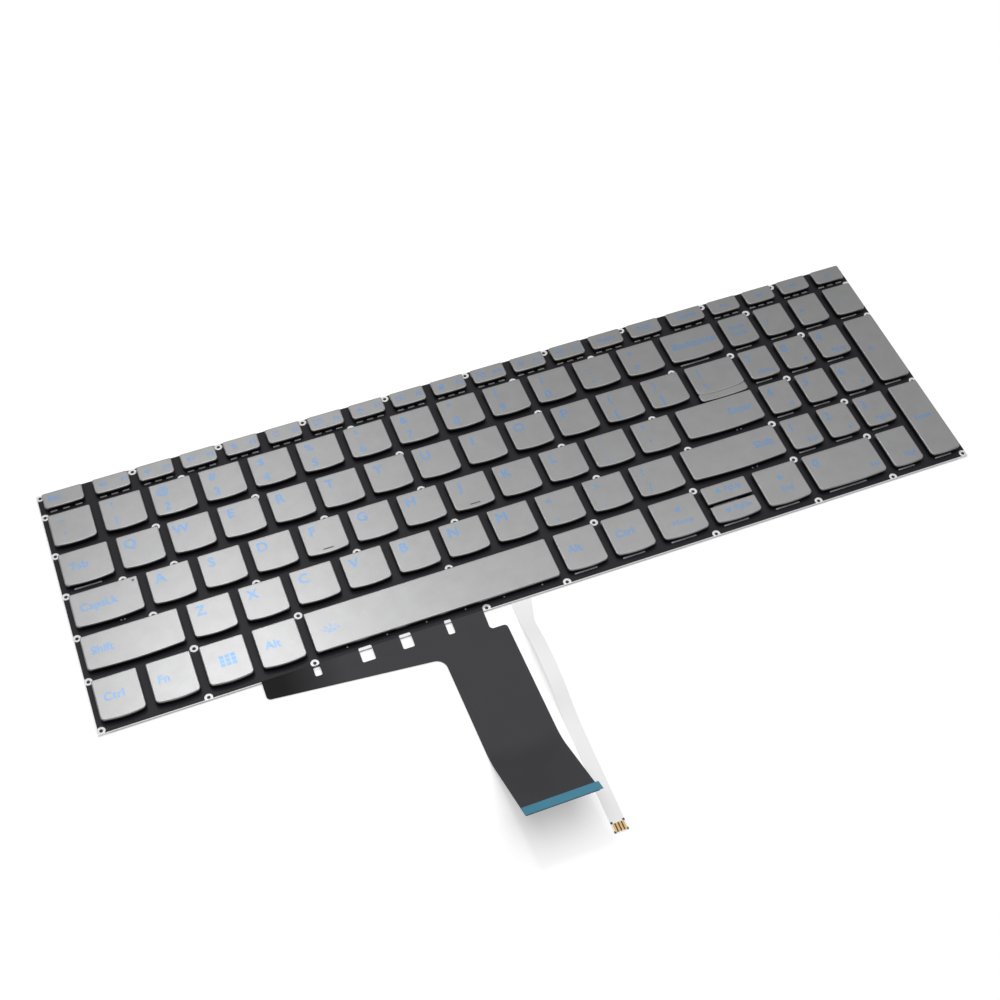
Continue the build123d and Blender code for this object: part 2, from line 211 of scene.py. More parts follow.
def rounded(width: float, depth: float, radius: float | np.ndarray, steps: int = 4) -> np.ndarray:
    """Draws a rectangle about the origin with round corners: quarter circles at its four corners.

    Args:
        width: Its length in X.
        depth: Its length in Y.
        radius: One radius for all corners, or one for each, anticlockwise from the front right.
        steps: Points on each quarter circle.

    Returns:
        The points, anticlockwise from the front of the right side.
    """
    turns = np.radians(np.concatenate([np.linspace(a, a + 90.0, steps) for a in (-90, 0, 90, 180)]))
    signs = np.repeat([(1, -1), (1, 1), (-1, 1), (-1, -1)], steps, axis=0)
    radii = np.repeat(np.broadcast_to(radius, 4), steps)[:, None]
    middles = signs * (np.array([width, depth]) / 2.0 - radii)
    return middles + radii * np.column_stack([np.cos(turns), np.sin(turns)])


def inside(outline: np.ndarray, points: np.ndarray) -> np.ndarray:
    """Tells which points lie in an outline, by counting the edges that a line to the right crosses.

    Args:
        outline: The outline's corners.
        points: The points to test.

    Returns:
        A truth value for each point.
    """
    start, end = outline[None], np.roll(outline, -1, axis=0)[None]
    x, y = points[:, None, 0], points[:, None, 1]
    straddles = (start[..., 1] > y) != (end[..., 1] > y)
    rise = np.where(straddles, end[..., 1] - start[..., 1], 1.0)
    crossing = start[..., 0] + (y - start[..., 1]) / rise * (end[..., 0] - start[..., 0])
    return (np.count_nonzero(straddles & (x < crossing), axis=1) % 2).astype(bool)


def pierced_sheet(
    outline: np.ndarray, holes: list[np.ndarray], cross_lines: Iterable[float] = ()
) -> Divided:
    """Divides a flat sheet with holes and notches into triangles.

    The edges of the outline and of the holes are constraints of a Delaunay triangulation, and a triangle
    is kept if its middle lies in the outline and in no hole. Lines across the sheet divide it where it
    bends.

    Args:
        outline: The sheet's edge, anticlockwise.
        holes: The edges of what is cut out, which may cross the sheet's edge.
        cross_lines: Places in Y of lines across the sheet.

    Returns:
        The points, the triangles and the edges of the triangles that only one of them has.
    """
    low, high = outline.min(axis=0) - 1.0, outline.max(axis=0) + 1.0
    loops = [outline, *holes]
    lines = [np.array([(low[0], y), (high[0], y)]) for y in cross_lines]
    starts = np.cumsum([0] + [len(part) for part in loops + lines])
    links = [
        np.column_stack([np.arange(len(part)), np.roll(np.arange(len(part)), -1)]) + start
        for part, start in zip(loops + lines, starts)
    ]
    corners = [Vector(point) for point in np.vstack(loops + lines).tolist()]
    found = delaunay_2d_cdt(corners, np.vstack(links).tolist(), [], 0, WELD_GAP)
    points = np.array(found[0])
    triangles = np.array(found[2])
    middles = points[triangles].mean(axis=1)
    kept = inside(outline, middles)
    for hole in holes:
        kept &= ~inside(hole, middles)
    triangles = triangles[kept]
    edges = np.stack([triangles, np.roll(triangles, -1, axis=1)], axis=-1).reshape(-1, 2)
    codes = edges @ np.array([len(points), 1])
    partners = edges @ np.array([1, len(points)])
    return points, triangles, edges[~np.isin(codes, partners)]


def thick_sheet(flat: Divided, under: np.ndarray, over: np.ndarray) -> Surface:
    """Gives a divided sheet its thickness.

    Args:
        flat: Points, triangles and free edges from pierced_sheet.
        under: Where each point lies on the lower face.
        over: Where each point lies on the upper face.

    Returns:
        The closed sheet: its two faces, and a wall along each free edge.
    """
    points, triangles, edges = flat
    count = len(points)
    used = np.unique(triangles)
    kept = np.concatenate([used, used + count])
    number = np.zeros(2 * count, dtype=int)
    number[kept] = np.arange(len(kept))
    walls = np.column_stack([edges, edges[:, ::-1] + count])
    faces = [triangles[:, ::-1], triangles + count, walls]
    return Surface(np.vstack([under, over])[kept], [number[block] for block in faces])


def flat_sheet(outline: np.ndarray, holes: list[np.ndarray], bottom: float, top: float) -> Surface:
    """Builds a flat sheet with holes.

    Args:
        outline: The sheet's edge, anticlockwise.
        holes: The edges of what is cut out.
        bottom: Height of its lower face.
        top: Height of its upper face.

    Returns:
        The closed sheet.
    """
    flat = pierced_sheet(outline, holes)
    return thick_sheet(flat, at_height(flat[0], bottom), at_height(flat[0], top))


def mesh_arrays(mesh: bpy.types.Mesh) -> tuple[np.ndarray, np.ndarray]:
    """Returns the points and the triangles of a mesh, one to a row."""
    points = np.empty(len(mesh.vertices) * 3)
    mesh.vertices.foreach_get("co", points)
    mesh.calc_loop_triangles()
    triangles = np.empty(len(mesh.loop_triangles) * 3, dtype=int)
    mesh.loop_triangles.foreach_get("vertices", triangles)
    return points.reshape(-1, 3), triangles.reshape(-1, 3)


def node_box(node: str) -> tuple[np.ndarray, np.ndarray]:
    """Returns the lowest and the highest corner of a node of the frame, in millimetres."""
    low, high = (np.array(corner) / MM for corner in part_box(node))
    return low, high


# Shader maths


class Signal:
    """A number that a node gives; arithmetic on it adds Math nodes."""

    def __init__(self, tree: bpy.types.NodeTree, socket: bpy.types.NodeSocket) -> None:
        """Keeps the tree and the output socket that carries the number."""
        self.tree = tree
        self.socket = socket

    def maths(
        self, operation: str, first: "Signal | float", second: "Signal | float", clamp: bool = False
    ) -> "Signal":
        """Adds one Math node.

        Args:
            operation: The node's operation.
            first: Its first value.
            second: Its second value.
            clamp: Whether the result is kept from 0 to 1.

        Returns:
            The node's result.
        """
        node = self.tree.nodes.new("ShaderNodeMath")
        node.operation = operation
        node.use_clamp = clamp
        for socket, value in zip(node.inputs, (first, second)):
            plug(self.tree, socket, value)
        return Signal(self.tree, node.outputs[0])

    def __add__(self, other: "Signal | float") -> "Signal":
        """Returns the sum."""
        return self.maths("ADD", self, other)

    def __sub__(self, other: "Signal | float") -> "Signal":
        """Returns the difference."""
        return self.maths("SUBTRACT", self, other)

    def __mul__(self, other: "Signal | float") -> "Signal":
        """Returns the product."""
        return self.maths("MULTIPLY", self, other)

    def above(self, edge: float, width: float) -> "Signal":
        """Returns 0 below the edge and 1 from the edge plus the width on."""
        return self.maths("DIVIDE", self - edge, width, clamp=True)


def plug(tree: bpy.types.NodeTree, socket: bpy.types.NodeSocket, value: object) -> None:
    """Feeds an input socket from a signal, an output socket or a constant."""
    if isinstance(value, Signal):
        value = value.socket
    if isinstance(value, bpy.types.NodeSocket):
        tree.links.new(value, socket)
    elif isinstance(value, tuple) and len(value) == 3 and len(socket.default_value) == 4:
        socket.default_value = (*value, 1.0)
    else:
        socket.default_value = value


class Wiring:
    """A node tree that starts empty, and the one way that nodes are added to it."""

    def __init__(self, tree: bpy.types.NodeTree) -> None:
        """Empties the tree."""
        self.tree = tree
        self.tree.nodes.clear()

    def node(self, kind: str, settings: dict | None = None, inputs: dict | None = None) -> bpy.types.Node:
        """Adds any node.

        Args:
            kind: The node's type.
            settings: Its settings, which are set first.
            inputs: Constants or links for its sockets, by name or number.

        Returns:
            The node.
        """
        node = self.tree.nodes.new(kind)
        for name, value in (settings or {}).items():
            setattr(node, name, value)
        for name, value in (inputs or {}).items():
            plug(self.tree, node.inputs[name], value)
        return node


class Bench(Wiring):
    """A material with one Principled shader, and the patterns that dress it."""

    def __init__(self, name: str) -> None:
        """Makes the material with its shader and its output."""
        self.material = bpy.data.materials.new(name)
        self.material.use_nodes = True
        super().__init__(self.material.node_tree)
        self.shader = self.node("ShaderNodeBsdfPrincipled")
        self.output = self.node("ShaderNodeOutputMaterial", inputs={"Surface": self.shader.outputs[0]})

    def coordinates(self, stretch: Triple = (1.0, 1.0, 1.0)) -> bpy.types.NodeSocket:
        """Returns places on the piece in metres, stretched along each axis."""
        place = self.node("ShaderNodeTexCoord").outputs["Object"]
        return self.node("ShaderNodeMapping", inputs={"Vector": place, "Scale": stretch}).outputs[0]

    def along(self, axis: str) -> Signal:
        """Returns the place along one axis of the piece in metres."""
        parts = self.node("ShaderNodeSeparateXYZ", inputs={0: self.coordinates()})
        return Signal(self.tree, parts.outputs[axis])

    def noise(self, scale: float, detail: float = 2.0, stretch: Triple = (1.0, 1.0, 1.0)) -> Signal:
        """Returns noise from 0 to 1 with so many lumps to a metre."""
        inputs = {"Vector": self.coordinates(stretch), "Scale": scale, "Detail": detail}
        return Signal(self.tree, self.node("ShaderNodeTexNoise", inputs=inputs).outputs[0])

    def wave(self, scale: float, axis: str) -> Signal:
        """Returns parallel bands across an axis, a little over three times the scale to a metre."""
        settings = {"wave_type": "BANDS", "bands_direction": axis, "wave_profile": "SIN"}
        inputs = {"Vector": self.coordinates(), "Scale": scale}
        return Signal(self.tree, self.node("ShaderNodeTexWave", settings, inputs).outputs["Fac"])

    def blend(self, share: Signal, first: object, second: object) -> bpy.types.NodeSocket:
        """Mixes two colours.

        Args:
            share: How much of the second colour there is, from 0 to 1.
            first: A colour or a colour socket.
            second: A colour or a colour socket.

        Returns:
            The socket with the mixed colour.
        """
        settings = {"data_type": "RGBA", "blend_type": "MIX"}
        return self.node("ShaderNodeMix", settings, {0: share, 6: first, 7: second}).outputs[2]

    def relief(self, height: Signal, strength: float, depth: float) -> bpy.types.NodeSocket:
        """Returns normals for a relief of so many metres."""
        inputs = {"Height": height, "Strength": strength, "Distance": depth}
        return self.node("ShaderNodeBump", inputs=inputs).outputs[0]

    def dress(self, **sockets: object) -> None:
        """Sets the shader's sockets; an underscore in a name stands for a space."""
        for name, value in sockets.items():
            plug(self.tree, self.shader.inputs[name.replace("_", " ")], value)


# Finishes


@dataclass(frozen=True)
class Finish:
    """A plain moulded finish: two near colours in soft clouds, and a fine grain.

    Lengths are in metres, and clouds and grain are in lumps to a metre.
    """

    name: str
    slot: str
    dark: Colour
    light: Colour
    roughness: float = 0.5
    roughness_swing: float = 0.08
    metallic: float = 0.0
    specular: float = 0.5
    cloud: float = 90.0
    grain: float = 3000.0
    grain_strength: float = 0.12
    grain_depth: float = 0.00002

    def settle(self, bench: Bench, colour: bpy.types.NodeSocket, gloss: Signal, height: Signal) -> None:
        """Feeds the shader.

        Args:
            bench: The bench of the material.
            colour: What colours the surface.
            gloss: What the roughness swings with, from 0 to 1.
            height: What the fine relief follows.
        """
        bench.dress(
            Base_Color=colour,
            Roughness=gloss * self.roughness_swing + (self.roughness - self.roughness_swing / 2.0),
            Metallic=self.metallic,
            Specular_IOR_Level=self.specular,
            Normal=bench.relief(height, self.grain_strength, self.grain_depth),
        )

    def apply(self, bench: Bench) -> None:
        """Sets colour, gloss and grain on the shader."""
        clouds = bench.noise(self.cloud)
        grain = bench.noise(self.grain)
        self.settle(bench, bench.blend(clouds, self.dark, self.light), grain, grain)


@dataclass(frozen=True)
class SatinPaint(Finish):
    """Cap paint: metal flakes in a satin lacquer over the upper part of the cap, and painted shade on the
    walls below it.
    """

    flake: float = 5200.0
    flake_detail: float = 3.0
    flake_share: float = 0.75
    flake_edge: float = 0.30
    flake_width: float = 0.40
    # Painted shade: the near-black colour of the walls below this edge stands in for the shade on them.
    skirt: Colour = (0.012, 0.012, 0.014)
    paint_edge: float = 0.00338
    paint_fade: float = 0.00012

    def apply(self, bench: Bench) -> None:
        """Sets the flaked colour above the shade's edge, painted shade on the walls below it, satin gloss and
        fine grain.
        """
        flakes = bench.noise(self.flake, self.flake_detail)
        clouds = bench.noise(self.cloud)
        share = flakes * self.flake_share + clouds * (1.0 - self.flake_share)
        paint = bench.blend(share.above(self.flake_edge, self.flake_width), self.dark, self.light)
        # Painted shade below this height, on the walls of the cap.
        above_wall_shade = bench.along("Z").above(self.paint_edge, self.paint_fade)
        self.settle(bench, bench.blend(above_wall_shade, self.skirt, paint), flakes, flakes)


@dataclass(frozen=True)
class RolledSteel(Finish):
    """Sheet steel: fine rolling lines along the rows, duller where the zinc has clouded."""

    line_detail: float = 3.0
    line_stretch: Triple = (0.04, 1.0, 1.0)
    line_share: float = 0.5

    def apply(self, bench: Bench) -> None:
        """Sets rolling lines and clouds of zinc."""
        lines = bench.noise(self.grain, self.line_detail, self.line_stretch)
        clouds = bench.noise(self.cloud, self.line_detail)
        share = lines * self.line_share + clouds * (1.0 - self.line_share)
        self.settle(bench, bench.blend(share, self.dark, self.light), clouds, lines)


@dataclass(frozen=True)
class TracedFilm(Finish):
    """Circuit film: dull black lacquer over faint parallel tracks, with painted shade at the left end."""

    track: float = 210.0
    track_edge: float = 0.35
    track_width: float = 0.30
    track_share: float = 0.1
    cloud_detail: float = 3.0
    cloud_relief: float = 0.5
    # Painted shade: a darker black left of this place, where the flange bends down towards the table.
    deep: Colour = (0.006, 0.006, 0.007)
    deep_end: float = -0.104
    deep_fade: float = 0.022

    def apply(self, bench: Bench) -> None:
        """Sets the lacquer, the tracks under it and the painted shade at the left end."""
        tracks = bench.wave(self.track, "X").above(self.track_edge, self.track_width)
        clouds = bench.noise(self.cloud, self.cloud_detail)
        share = clouds * (1.0 - self.track_share) + tracks * self.track_share
        lacquer = bench.blend(share, self.dark, self.light)
        # Painted shade at the flange's left end.
        past_flange_shade = bench.along("X").above(self.deep_end, self.deep_fade)
        colour = bench.blend(past_flange_shade, self.deep, lacquer)
        self.settle(bench, colour, clouds, tracks + clouds * self.cloud_relief)


CAP_GREY = SatinPaint(
    "cap_grey", "cap_grey", (0.305, 0.305, 0.307), (0.395, 0.395, 0.398),
    roughness=0.34, metallic=0.50, cloud=160.0, grain_strength=0.06,
)
# Painted shade: the homing bars carry the cap's paint, but are given a dark grey for the shade on their
# sides.
HOMING_SHADE_GREY = Finish("homing_painted_shade", "cap_grey", (0.09, 0.09, 0.09), (0.12, 0.12, 0.12), roughness=0.5)
INK_BLUE = Finish(
    "ink_blue", "cap_grey", (0.16, 0.32, 0.57), (0.20, 0.36, 0.63),
    roughness=0.36, metallic=0.5, grain=6000.0,
)
LAMP_DOT = Finish("lamp_dot", "cap_grey", (0.09, 0.16, 0.20), (0.12, 0.22, 0.27), roughness=0.35)
FILM_BLACK = Finish(
    "film_black", "membrane_black", (0.0165, 0.0155, 0.0195), (0.022, 0.0205, 0.025),
    roughness=0.44, specular=0.15, cloud=120.0, grain=2400.0, grain_strength=0.15,
)
RIBBON_BLACK = TracedFilm(
    "ribbon_black", "ribbon_black", (0.050, 0.050, 0.054), (0.061, 0.061, 0.065),
    roughness=0.50, specular=0.10, cloud=60.0, grain_strength=0.06, grain_depth=0.00003,
)
PLATE_STEEL = RolledSteel(
    "plate_steel", "plate_steel", (0.82, 0.82, 0.83), (0.88, 0.88, 0.88),
    roughness=0.42, metallic=0.15, cloud=300.0, grain=2600.0, grain_strength=0.08,
)
# Painted shade: dark discs in the stake holes stand in for the shade down in the holes.
HOLE_SHADE_BLACK = Finish("hole_shade_black", "membrane_black", (0.012, 0.012, 0.013), (0.02, 0.02, 0.021), roughness=0.6)
BAR_STEEL = RolledSteel(
    "bar_steel", "bar_steel", (0.50, 0.50, 0.51), (0.66, 0.66, 0.67), roughness=0.30, metallic=0.95,
)
TAB_STEEL = RolledSteel(
    "tab_steel", "plate_steel", (0.66, 0.66, 0.68), (0.78, 0.78, 0.80), roughness=0.40, metallic=0.2,
)
GUIDE_CLEAR = Finish(
    "guide_clear", "guide_clear", (0.74, 0.76, 0.78), (0.82, 0.84, 0.86), roughness=0.25,
)
REFLECTOR_WHITE = Finish(
    "reflector_white", "reflector_white", (0.80, 0.80, 0.80), (0.87, 0.87, 0.87), roughness=0.5,
)
STIFFENER_BLUE = Finish(
    "stiffener_blue", "stiffener_blue", (0.055, 0.23, 0.34), (0.075, 0.28, 0.40), roughness=0.40,
)
TAIL_WHITE = Finish("tail_white", "tail_white", (0.96, 0.96, 0.965), (0.99, 0.99, 0.99), roughness=0.42)
PAD_BROWN = Finish("pad_brown", "ribbon_black", (0.05, 0.025, 0.014), (0.08, 0.04, 0.02), roughness=0.5)
TAIL_MASK = Finish("tail_mask", "ribbon_black", (0.02, 0.02, 0.022), (0.03, 0.03, 0.032), roughness=0.5)
CONTACT_GOLD = RolledSteel(
    "contact_gold", "contact_gold", (0.46, 0.30, 0.11), (0.60, 0.40, 0.16), roughness=0.45, metallic=0.6,
)
LAMP_YELLOW = Finish("lamp_yellow", "lamp_yellow", (0.75, 0.62, 0.16), (0.82, 0.70, 0.22), roughness=0.35)
DOME_RUBBER = Finish("dome_rubber", "dome_rubber", (0.42, 0.43, 0.44), (0.52, 0.53, 0.54), roughness=0.6)
SCISSOR_WHITE = Finish(
    "scissor_white", "scissor_white", (0.55, 0.55, 0.54), (0.64, 0.64, 0.63), roughness=0.45,
)


@lru_cache(maxsize=None)
def material_of(finish: Finish) -> bpy.types.Material:
    """Returns the one material of a finish."""
    bench = Bench(f"{finish.name}_finish")
    finish.apply(bench)
    return bench.material


# Layout of the keys, read from the frame


@dataclass(frozen=True)
class Cap:
    """One cap's place: its edges seen from above, its height, and the node and body it belongs to."""

    name: str
    node: str
    body: str
    left: float
    front: float
    right: float
    back: float
    bottom: float
    top: float
    bow: float

    @property
    def width(self) -> float:
        """Length along the row."""
        return self.right - self.left

    @property
    def depth(self) -> float:
        """Length across the row."""
        return self.back - self.front


def separate_solids(node: str) -> list[tuple[np.ndarray, np.ndarray]]:
    """Finds the boxes of the separate solids in one node of the frame.

    Corners at one place get one number, each triangle hands its lowest number to its corners, and the
    rounds end when nothing changes, so that corners with one number make one solid.

    Args:
        node: The node's name.

    Returns:
        The lowest and highest corner of each solid, from back to front and then from left to right.
    """
    points, triangles = mesh_arrays(frame["nodes"][node].data)
    points = points / MM
    merged = np.unique(np.round(points, 3), axis=0, return_inverse=True)[1].reshape(-1)
    corners = merged[triangles]
    label = np.arange(merged.max() + 1)
    while True:
        lowest = label.copy()
        np.minimum.at(lowest, corners, label[corners].min(axis=1)[:, None])
        if np.array_equal(lowest, label):
            break
        label = lowest
    groups = [points[label[merged] == number] for number in np.unique(label)]
    boxes = [(group.min(axis=0), group.max(axis=0)) for group in groups]
    return sorted(boxes, key=lambda box: (-round(box[1][1], 1), box[0][0]))


@dataclass
class KeyField:
    """Every cap of the keyboard by name, with the rows that the stakes are set out from."""

    cap_bow: float = 0.85
    pad_bow: float = 0.60
    slim_bow: float = 0.25
    main_gap: float = 1.55
    row_gap: float = 1.65
    function_gap: float = 1.55
    stake_inset: float = 1.35
    edge_stake_inset: float = 0.90
    flange_stake: float = 140.7
    caps: dict[str, Cap] = field(default_factory=dict)

    shared: tuple[tuple[str, tuple[str, ...]], ...] = (
        ("function_row_caps", ("esc", *(f"f{i}" for i in range(1, 13)), "insert", "print", "delete",
                               "play", "previous", "next", "power")),
        ("number_row_caps", ("grave", *"1234567890", "minus", "equals", "backspace")),
        ("number_pad_caps", ("num_lock", "divide", "multiply", "subtract", "pad_7", "pad_8", "pad_9", "add",
                             "pad_4", "pad_5", "pad_6", "pad_1", "pad_2", "pad_3", "pad_enter", "pad_0",
                             "point")),
        ("arrow_cluster_caps", ("right_alt", "right_ctrl", "left", "up", "right", "down")),
    )
    q_row: tuple[str, ...] = ("tab", *"qwertyuiop", "left_bracket", "right_bracket", "backslash")
    a_row: tuple[str, ...] = ("caps_lock", *"asdfghjkl", "semicolon", "quote", "enter")
    z_row: tuple[str, ...] = ("left_shift", *"zxcvbnm", "comma", "period", "slash", "right_shift")
    bottom_row: tuple[str, ...] = ("left_ctrl", "fn", "system", "left_alt", "space")

    def __post_init__(self) -> None:
        """Reads the caps from the frame."""
        for name in self.q_row + self.a_row + self.z_row + self.bottom_row:
            node = f"key_{name}"
            self.keep(name, node, node, node_box(node))
        for node, names in self.shared:
            for name, box in zip(names, separate_solids(node)):
                self.keep(name, node, "root", box)

    def keep(self, name: str, node: str, body: str, box: tuple[np.ndarray, np.ndarray]) -> None:
        """Files one cap under its name, with the bow of its front edge.

        Args:
            name: The cap's name.
            node: The node that it belongs to.
            body: The body that it rides on.
            box: Its lowest and highest corner.
        """
        low, high = box
        bow = self.cap_bow
        if node == "function_row_caps" or name == "space":
            bow = self.slim_bow
        elif node == "number_pad_caps":
            bow = self.pad_bow
        elif name == "up":
            bow = 0.0
        self.caps[name] = Cap(name, node, body, low[0], low[1], high[0], high[1], low[2], high[2], bow)

    def row(self, *names: str) -> list[Cap]:
        """Returns the caps with these names."""
        return [self.caps[name] for name in names]

    def gaps_after(self, names: tuple[str, ...], places: Iterable[int]) -> list[float]:
        """Returns the middles in X of the gaps to the right of some keys of a row."""
        row = self.row(*names)
        return [(row[i].right + row[i + 1].left) / 2.0 for i in places]

    def stakes(self, plate_left: float, plate_front: float) -> np.ndarray:
        """Sets out the stakes in the gaps between keys and along the plate's edges.

        Args:
            plate_left: The plate's left edge.
            plate_front: The plate's front edge.

        Returns:
            The middles of the stakes, as points in X and Y.
        """
        left, front = plate_left + self.stake_inset, plate_front + self.stake_inset
        edge = plate_front + self.edge_stake_inset
        main = self.caps["backspace"].right + self.main_gap
        pads = self.gaps_after(("num_lock", "divide", "multiply", "subtract"), range(3))
        function_names = self.shared[0][1]
        number_names = self.shared[1][1]
        bottom_names = self.bottom_row + ("right_alt", "right_ctrl", "left", "up", "right")
        flange = plate_left + self.flange_stake
        rows = [
            (front, [left, -left]),
            (edge, [*self.gaps_after(bottom_names, (1, 3, 4, 7)), flange, main, pads[1]]),
            (self.caps["z"].front - self.row_gap,
             [left, *self.gaps_after(self.z_row, (0, 2, 5, 8, 10)), main, pads[1]]),
            (self.caps["a"].front - self.row_gap,
             [left, *self.gaps_after(self.a_row, (0, 2, 4, 6, 9, 11)), main, pads[1], -left]),
            (self.caps["q"].front - self.row_gap,
             [left, *self.gaps_after(self.q_row, (0, 1, 4, 6, 9, 11)), pads[0]]),
            (self.caps["1"].front - self.row_gap,
             [left, *self.gaps_after(number_names, (1, 3, 6, 9, 12)), main, pads[1], -left]),
            (self.caps["esc"].front - self.function_gap,
             [left, *self.gaps_after(function_names, (2, 6, 10, 12)), pads[0], -left]),
            (-front, [left, *self.gaps_after(function_names, (1, 3, 5, 7, 9, 11, 13)), main, pads[1], -left]),
        ]
        return np.array([(x, y) for y, places in rows for x in places])


# Key caps


@dataclass
class CapMaker:
    """Thin moulded caps with a bowed front edge, eased corners and a hollow underneath."""

    front_corner: float = 1.45
    back_corner: float = 0.75
    square_corner: float = 0.45
    least_corner: float = 0.05
    corner_steps: int = 5
    front_steps: int = 9
    wall: float = 0.90
    roof: float = 0.70
    pocket_draft: float = 0.10
    foot_inset: float = 0.08
    foot_height: float = 0.06
    draft: float = 0.10
    edge_radius: float = 0.32
    edge_steps: int = 4
    flat_ring: float = 0.12
    ledge_drop: float = 0.30
    ledge_depth: float = 3.55
    homing_length: float = 4.0
    homing_width: float = 0.42
    homing_height: float = 0.16
    homing_from_back: float = 13.35

    # Insets, and shares of the bar's height
    homing_profile: tuple[tuple[float, float], ...] = ((0.0, -0.05), (0.0, 0.5), (0.10, 0.85), (0.2, 1.0))

    lamp_radius: float = 0.55
    lamp_crown: float = 0.30
    lamp_from_right: float = 1.75
    lamp_from_back: float = 1.75
    lamp_height: float = 0.03
    lamp_bulge: float = 1.5
    lamp_sunk: float = 0.02
    lamp_sides: int = 16

    def outline(self, cap: Cap, inset: float) -> np.ndarray:
        """Works out a cap's edge, drawn in by an inset.

        Quarter circles at the four corners, with the front edge divided, make a rounded rectangle. Then
        each point moves back by the bow, times the square of its distance from the middle of the row
        direction, times the square of its distance from the back edge.

        Args:
            cap: The cap.
            inset: How far the edge is drawn in.

        Returns:
            The points, anticlockwise from the front of the right side.
        """
        front_radius = self.front_corner if cap.bow else self.square_corner
        radii = np.array([front_radius, self.back_corner, self.back_corner, front_radius])
        radii = np.maximum(radii - inset, self.least_corner)
        half = np.array([cap.width, cap.depth]) / 2.0
        middle = np.array([cap.left, cap.front]) + half
        edge = middle + rounded(*(2.0 * (half - inset)), radii, self.corner_steps)
        share = np.linspace(0.0, 1.0, self.front_steps + 2)[1:-1, None]
        edge = np.vstack([edge, edge[-1] + share * (edge[0] - edge[-1])])
        across = (edge[:, 0] - middle[0]) / half[0]
        along = np.clip((cap.back - edge[:, 1]) / cap.depth, 0.0, 1.0)
        edge[:, 1] += cap.bow * across**2 * along**2
        return edge

    def shell(self, cap: Cap) -> Surface:
        """Builds one cap as a stack of outlines: up the hollow, round the wall and over the eased edge."""
        ceiling = cap.top - self.roof
        turns = np.linspace(0.0, np.pi / 2.0, self.edge_steps + 1)
        eased_insets = self.draft + self.edge_radius * (1.0 - np.cos(turns))
        eased_heights = cap.top - self.edge_radius * (1.0 - np.sin(turns))
        pocket_insets = [self.wall + self.pocket_draft, self.wall]
        insets = [*pocket_insets, self.foot_inset, 0.0, *eased_insets, eased_insets[-1] + self.flat_ring]
        heights = [ceiling, cap.bottom, cap.bottom, cap.bottom + self.foot_height, *eased_heights, cap.top]
        rings = [at_height(self.outline(cap, inset), z) for inset, z in zip(insets, heights)]
        return loft(np.stack(rings))

    def homing_bar(self, cap: Cap) -> Surface:
        """Builds the raised bar that a finger feels for: rounded outlines that draw in towards the top."""
        x = (cap.left + cap.right) / 2.0
        y = cap.back - self.homing_from_back
        length, width = self.homing_length, self.homing_width
        rings = [
            at_height(rounded(length - 2 * d, width - 2 * d, width / 2 - d), share * self.homing_height)
            for d, share in self.homing_profile
        ]
        return loft(np.stack(rings)).moved(x, y, cap.top)

    def lock_lamp(self, cap: Cap) -> Surface:
        """Builds the small lamp in the back corner of a cap: a low dome turned about its middle."""
        profile = [
            (self.lamp_radius, -self.lamp_sunk),
            (self.lamp_radius, self.lamp_height),
            (self.lamp_crown, self.lamp_height * self.lamp_bulge),
        ]
        x, y = cap.right - self.lamp_from_right, cap.back - self.lamp_from_back
        return revolve(profile, self.lamp_sides).moved(x, y, cap.top)

    def stepped_cap(self, cap: Cap, main_front: float) -> Surface:
        """Builds the backslash cap: a cap like its neighbours, and a lower ledge from it to the enter key."""
        main = replace(cap, front=main_front)
        ledge_back = cap.front + self.ledge_depth + cap.bow
        ledge = replace(cap, back=ledge_back, top=cap.top - self.ledge_drop, bow=cap.bow / 2)
        return Surface.join([self.shell(main), self.shell(ledge)])

    def build(self, keys: KeyField) -> None:
        """Makes every cap: one piece for each key that travels, and one for each row that shares a node."""
        nodes: dict[str, list[Cap]] = {}
        for cap in keys.caps.values():
            nodes.setdefault(cap.node, []).append(cap)
        for node, caps in nodes.items():
            if node == "key_backslash":
                shape = self.stepped_cap(caps[0], keys.caps["p"].front)
            else:
                shape = Surface.join(map(self.shell, caps))
            piece = shape.piece(f"{node}_shell", CAP_GREY, caps[0].body)
            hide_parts(node)
        for cap in keys.row("f", "j"):
            # Painted shade: the bar's dark colour stands in for the shade along it.
            self.homing_bar(cap).piece(f"{cap.node}_homing_bar", HOMING_SHADE_GREY, cap.body)
        lock = keys.caps["caps_lock"]
        self.lock_lamp(lock).piece("caps_lock_lamp", LAMP_DOT, lock.body)


# Print on the caps


class Side(Enum):
    """Which part of a mark stands at its place."""

    LEFT = 0.0
    MIDDLE = 0.5
    RIGHT = 1.0


@dataclass(frozen=True)
class Mark:
    """One printed word or sign, and the height of its capitals.

    Its place is how far the part named by side stands from the cap's left edge, and how far its middle
    line stands from the cap's back edge.
    """

    text: str
    x: float
    y: float
    height: float
    side: Side = Side.MIDDLE


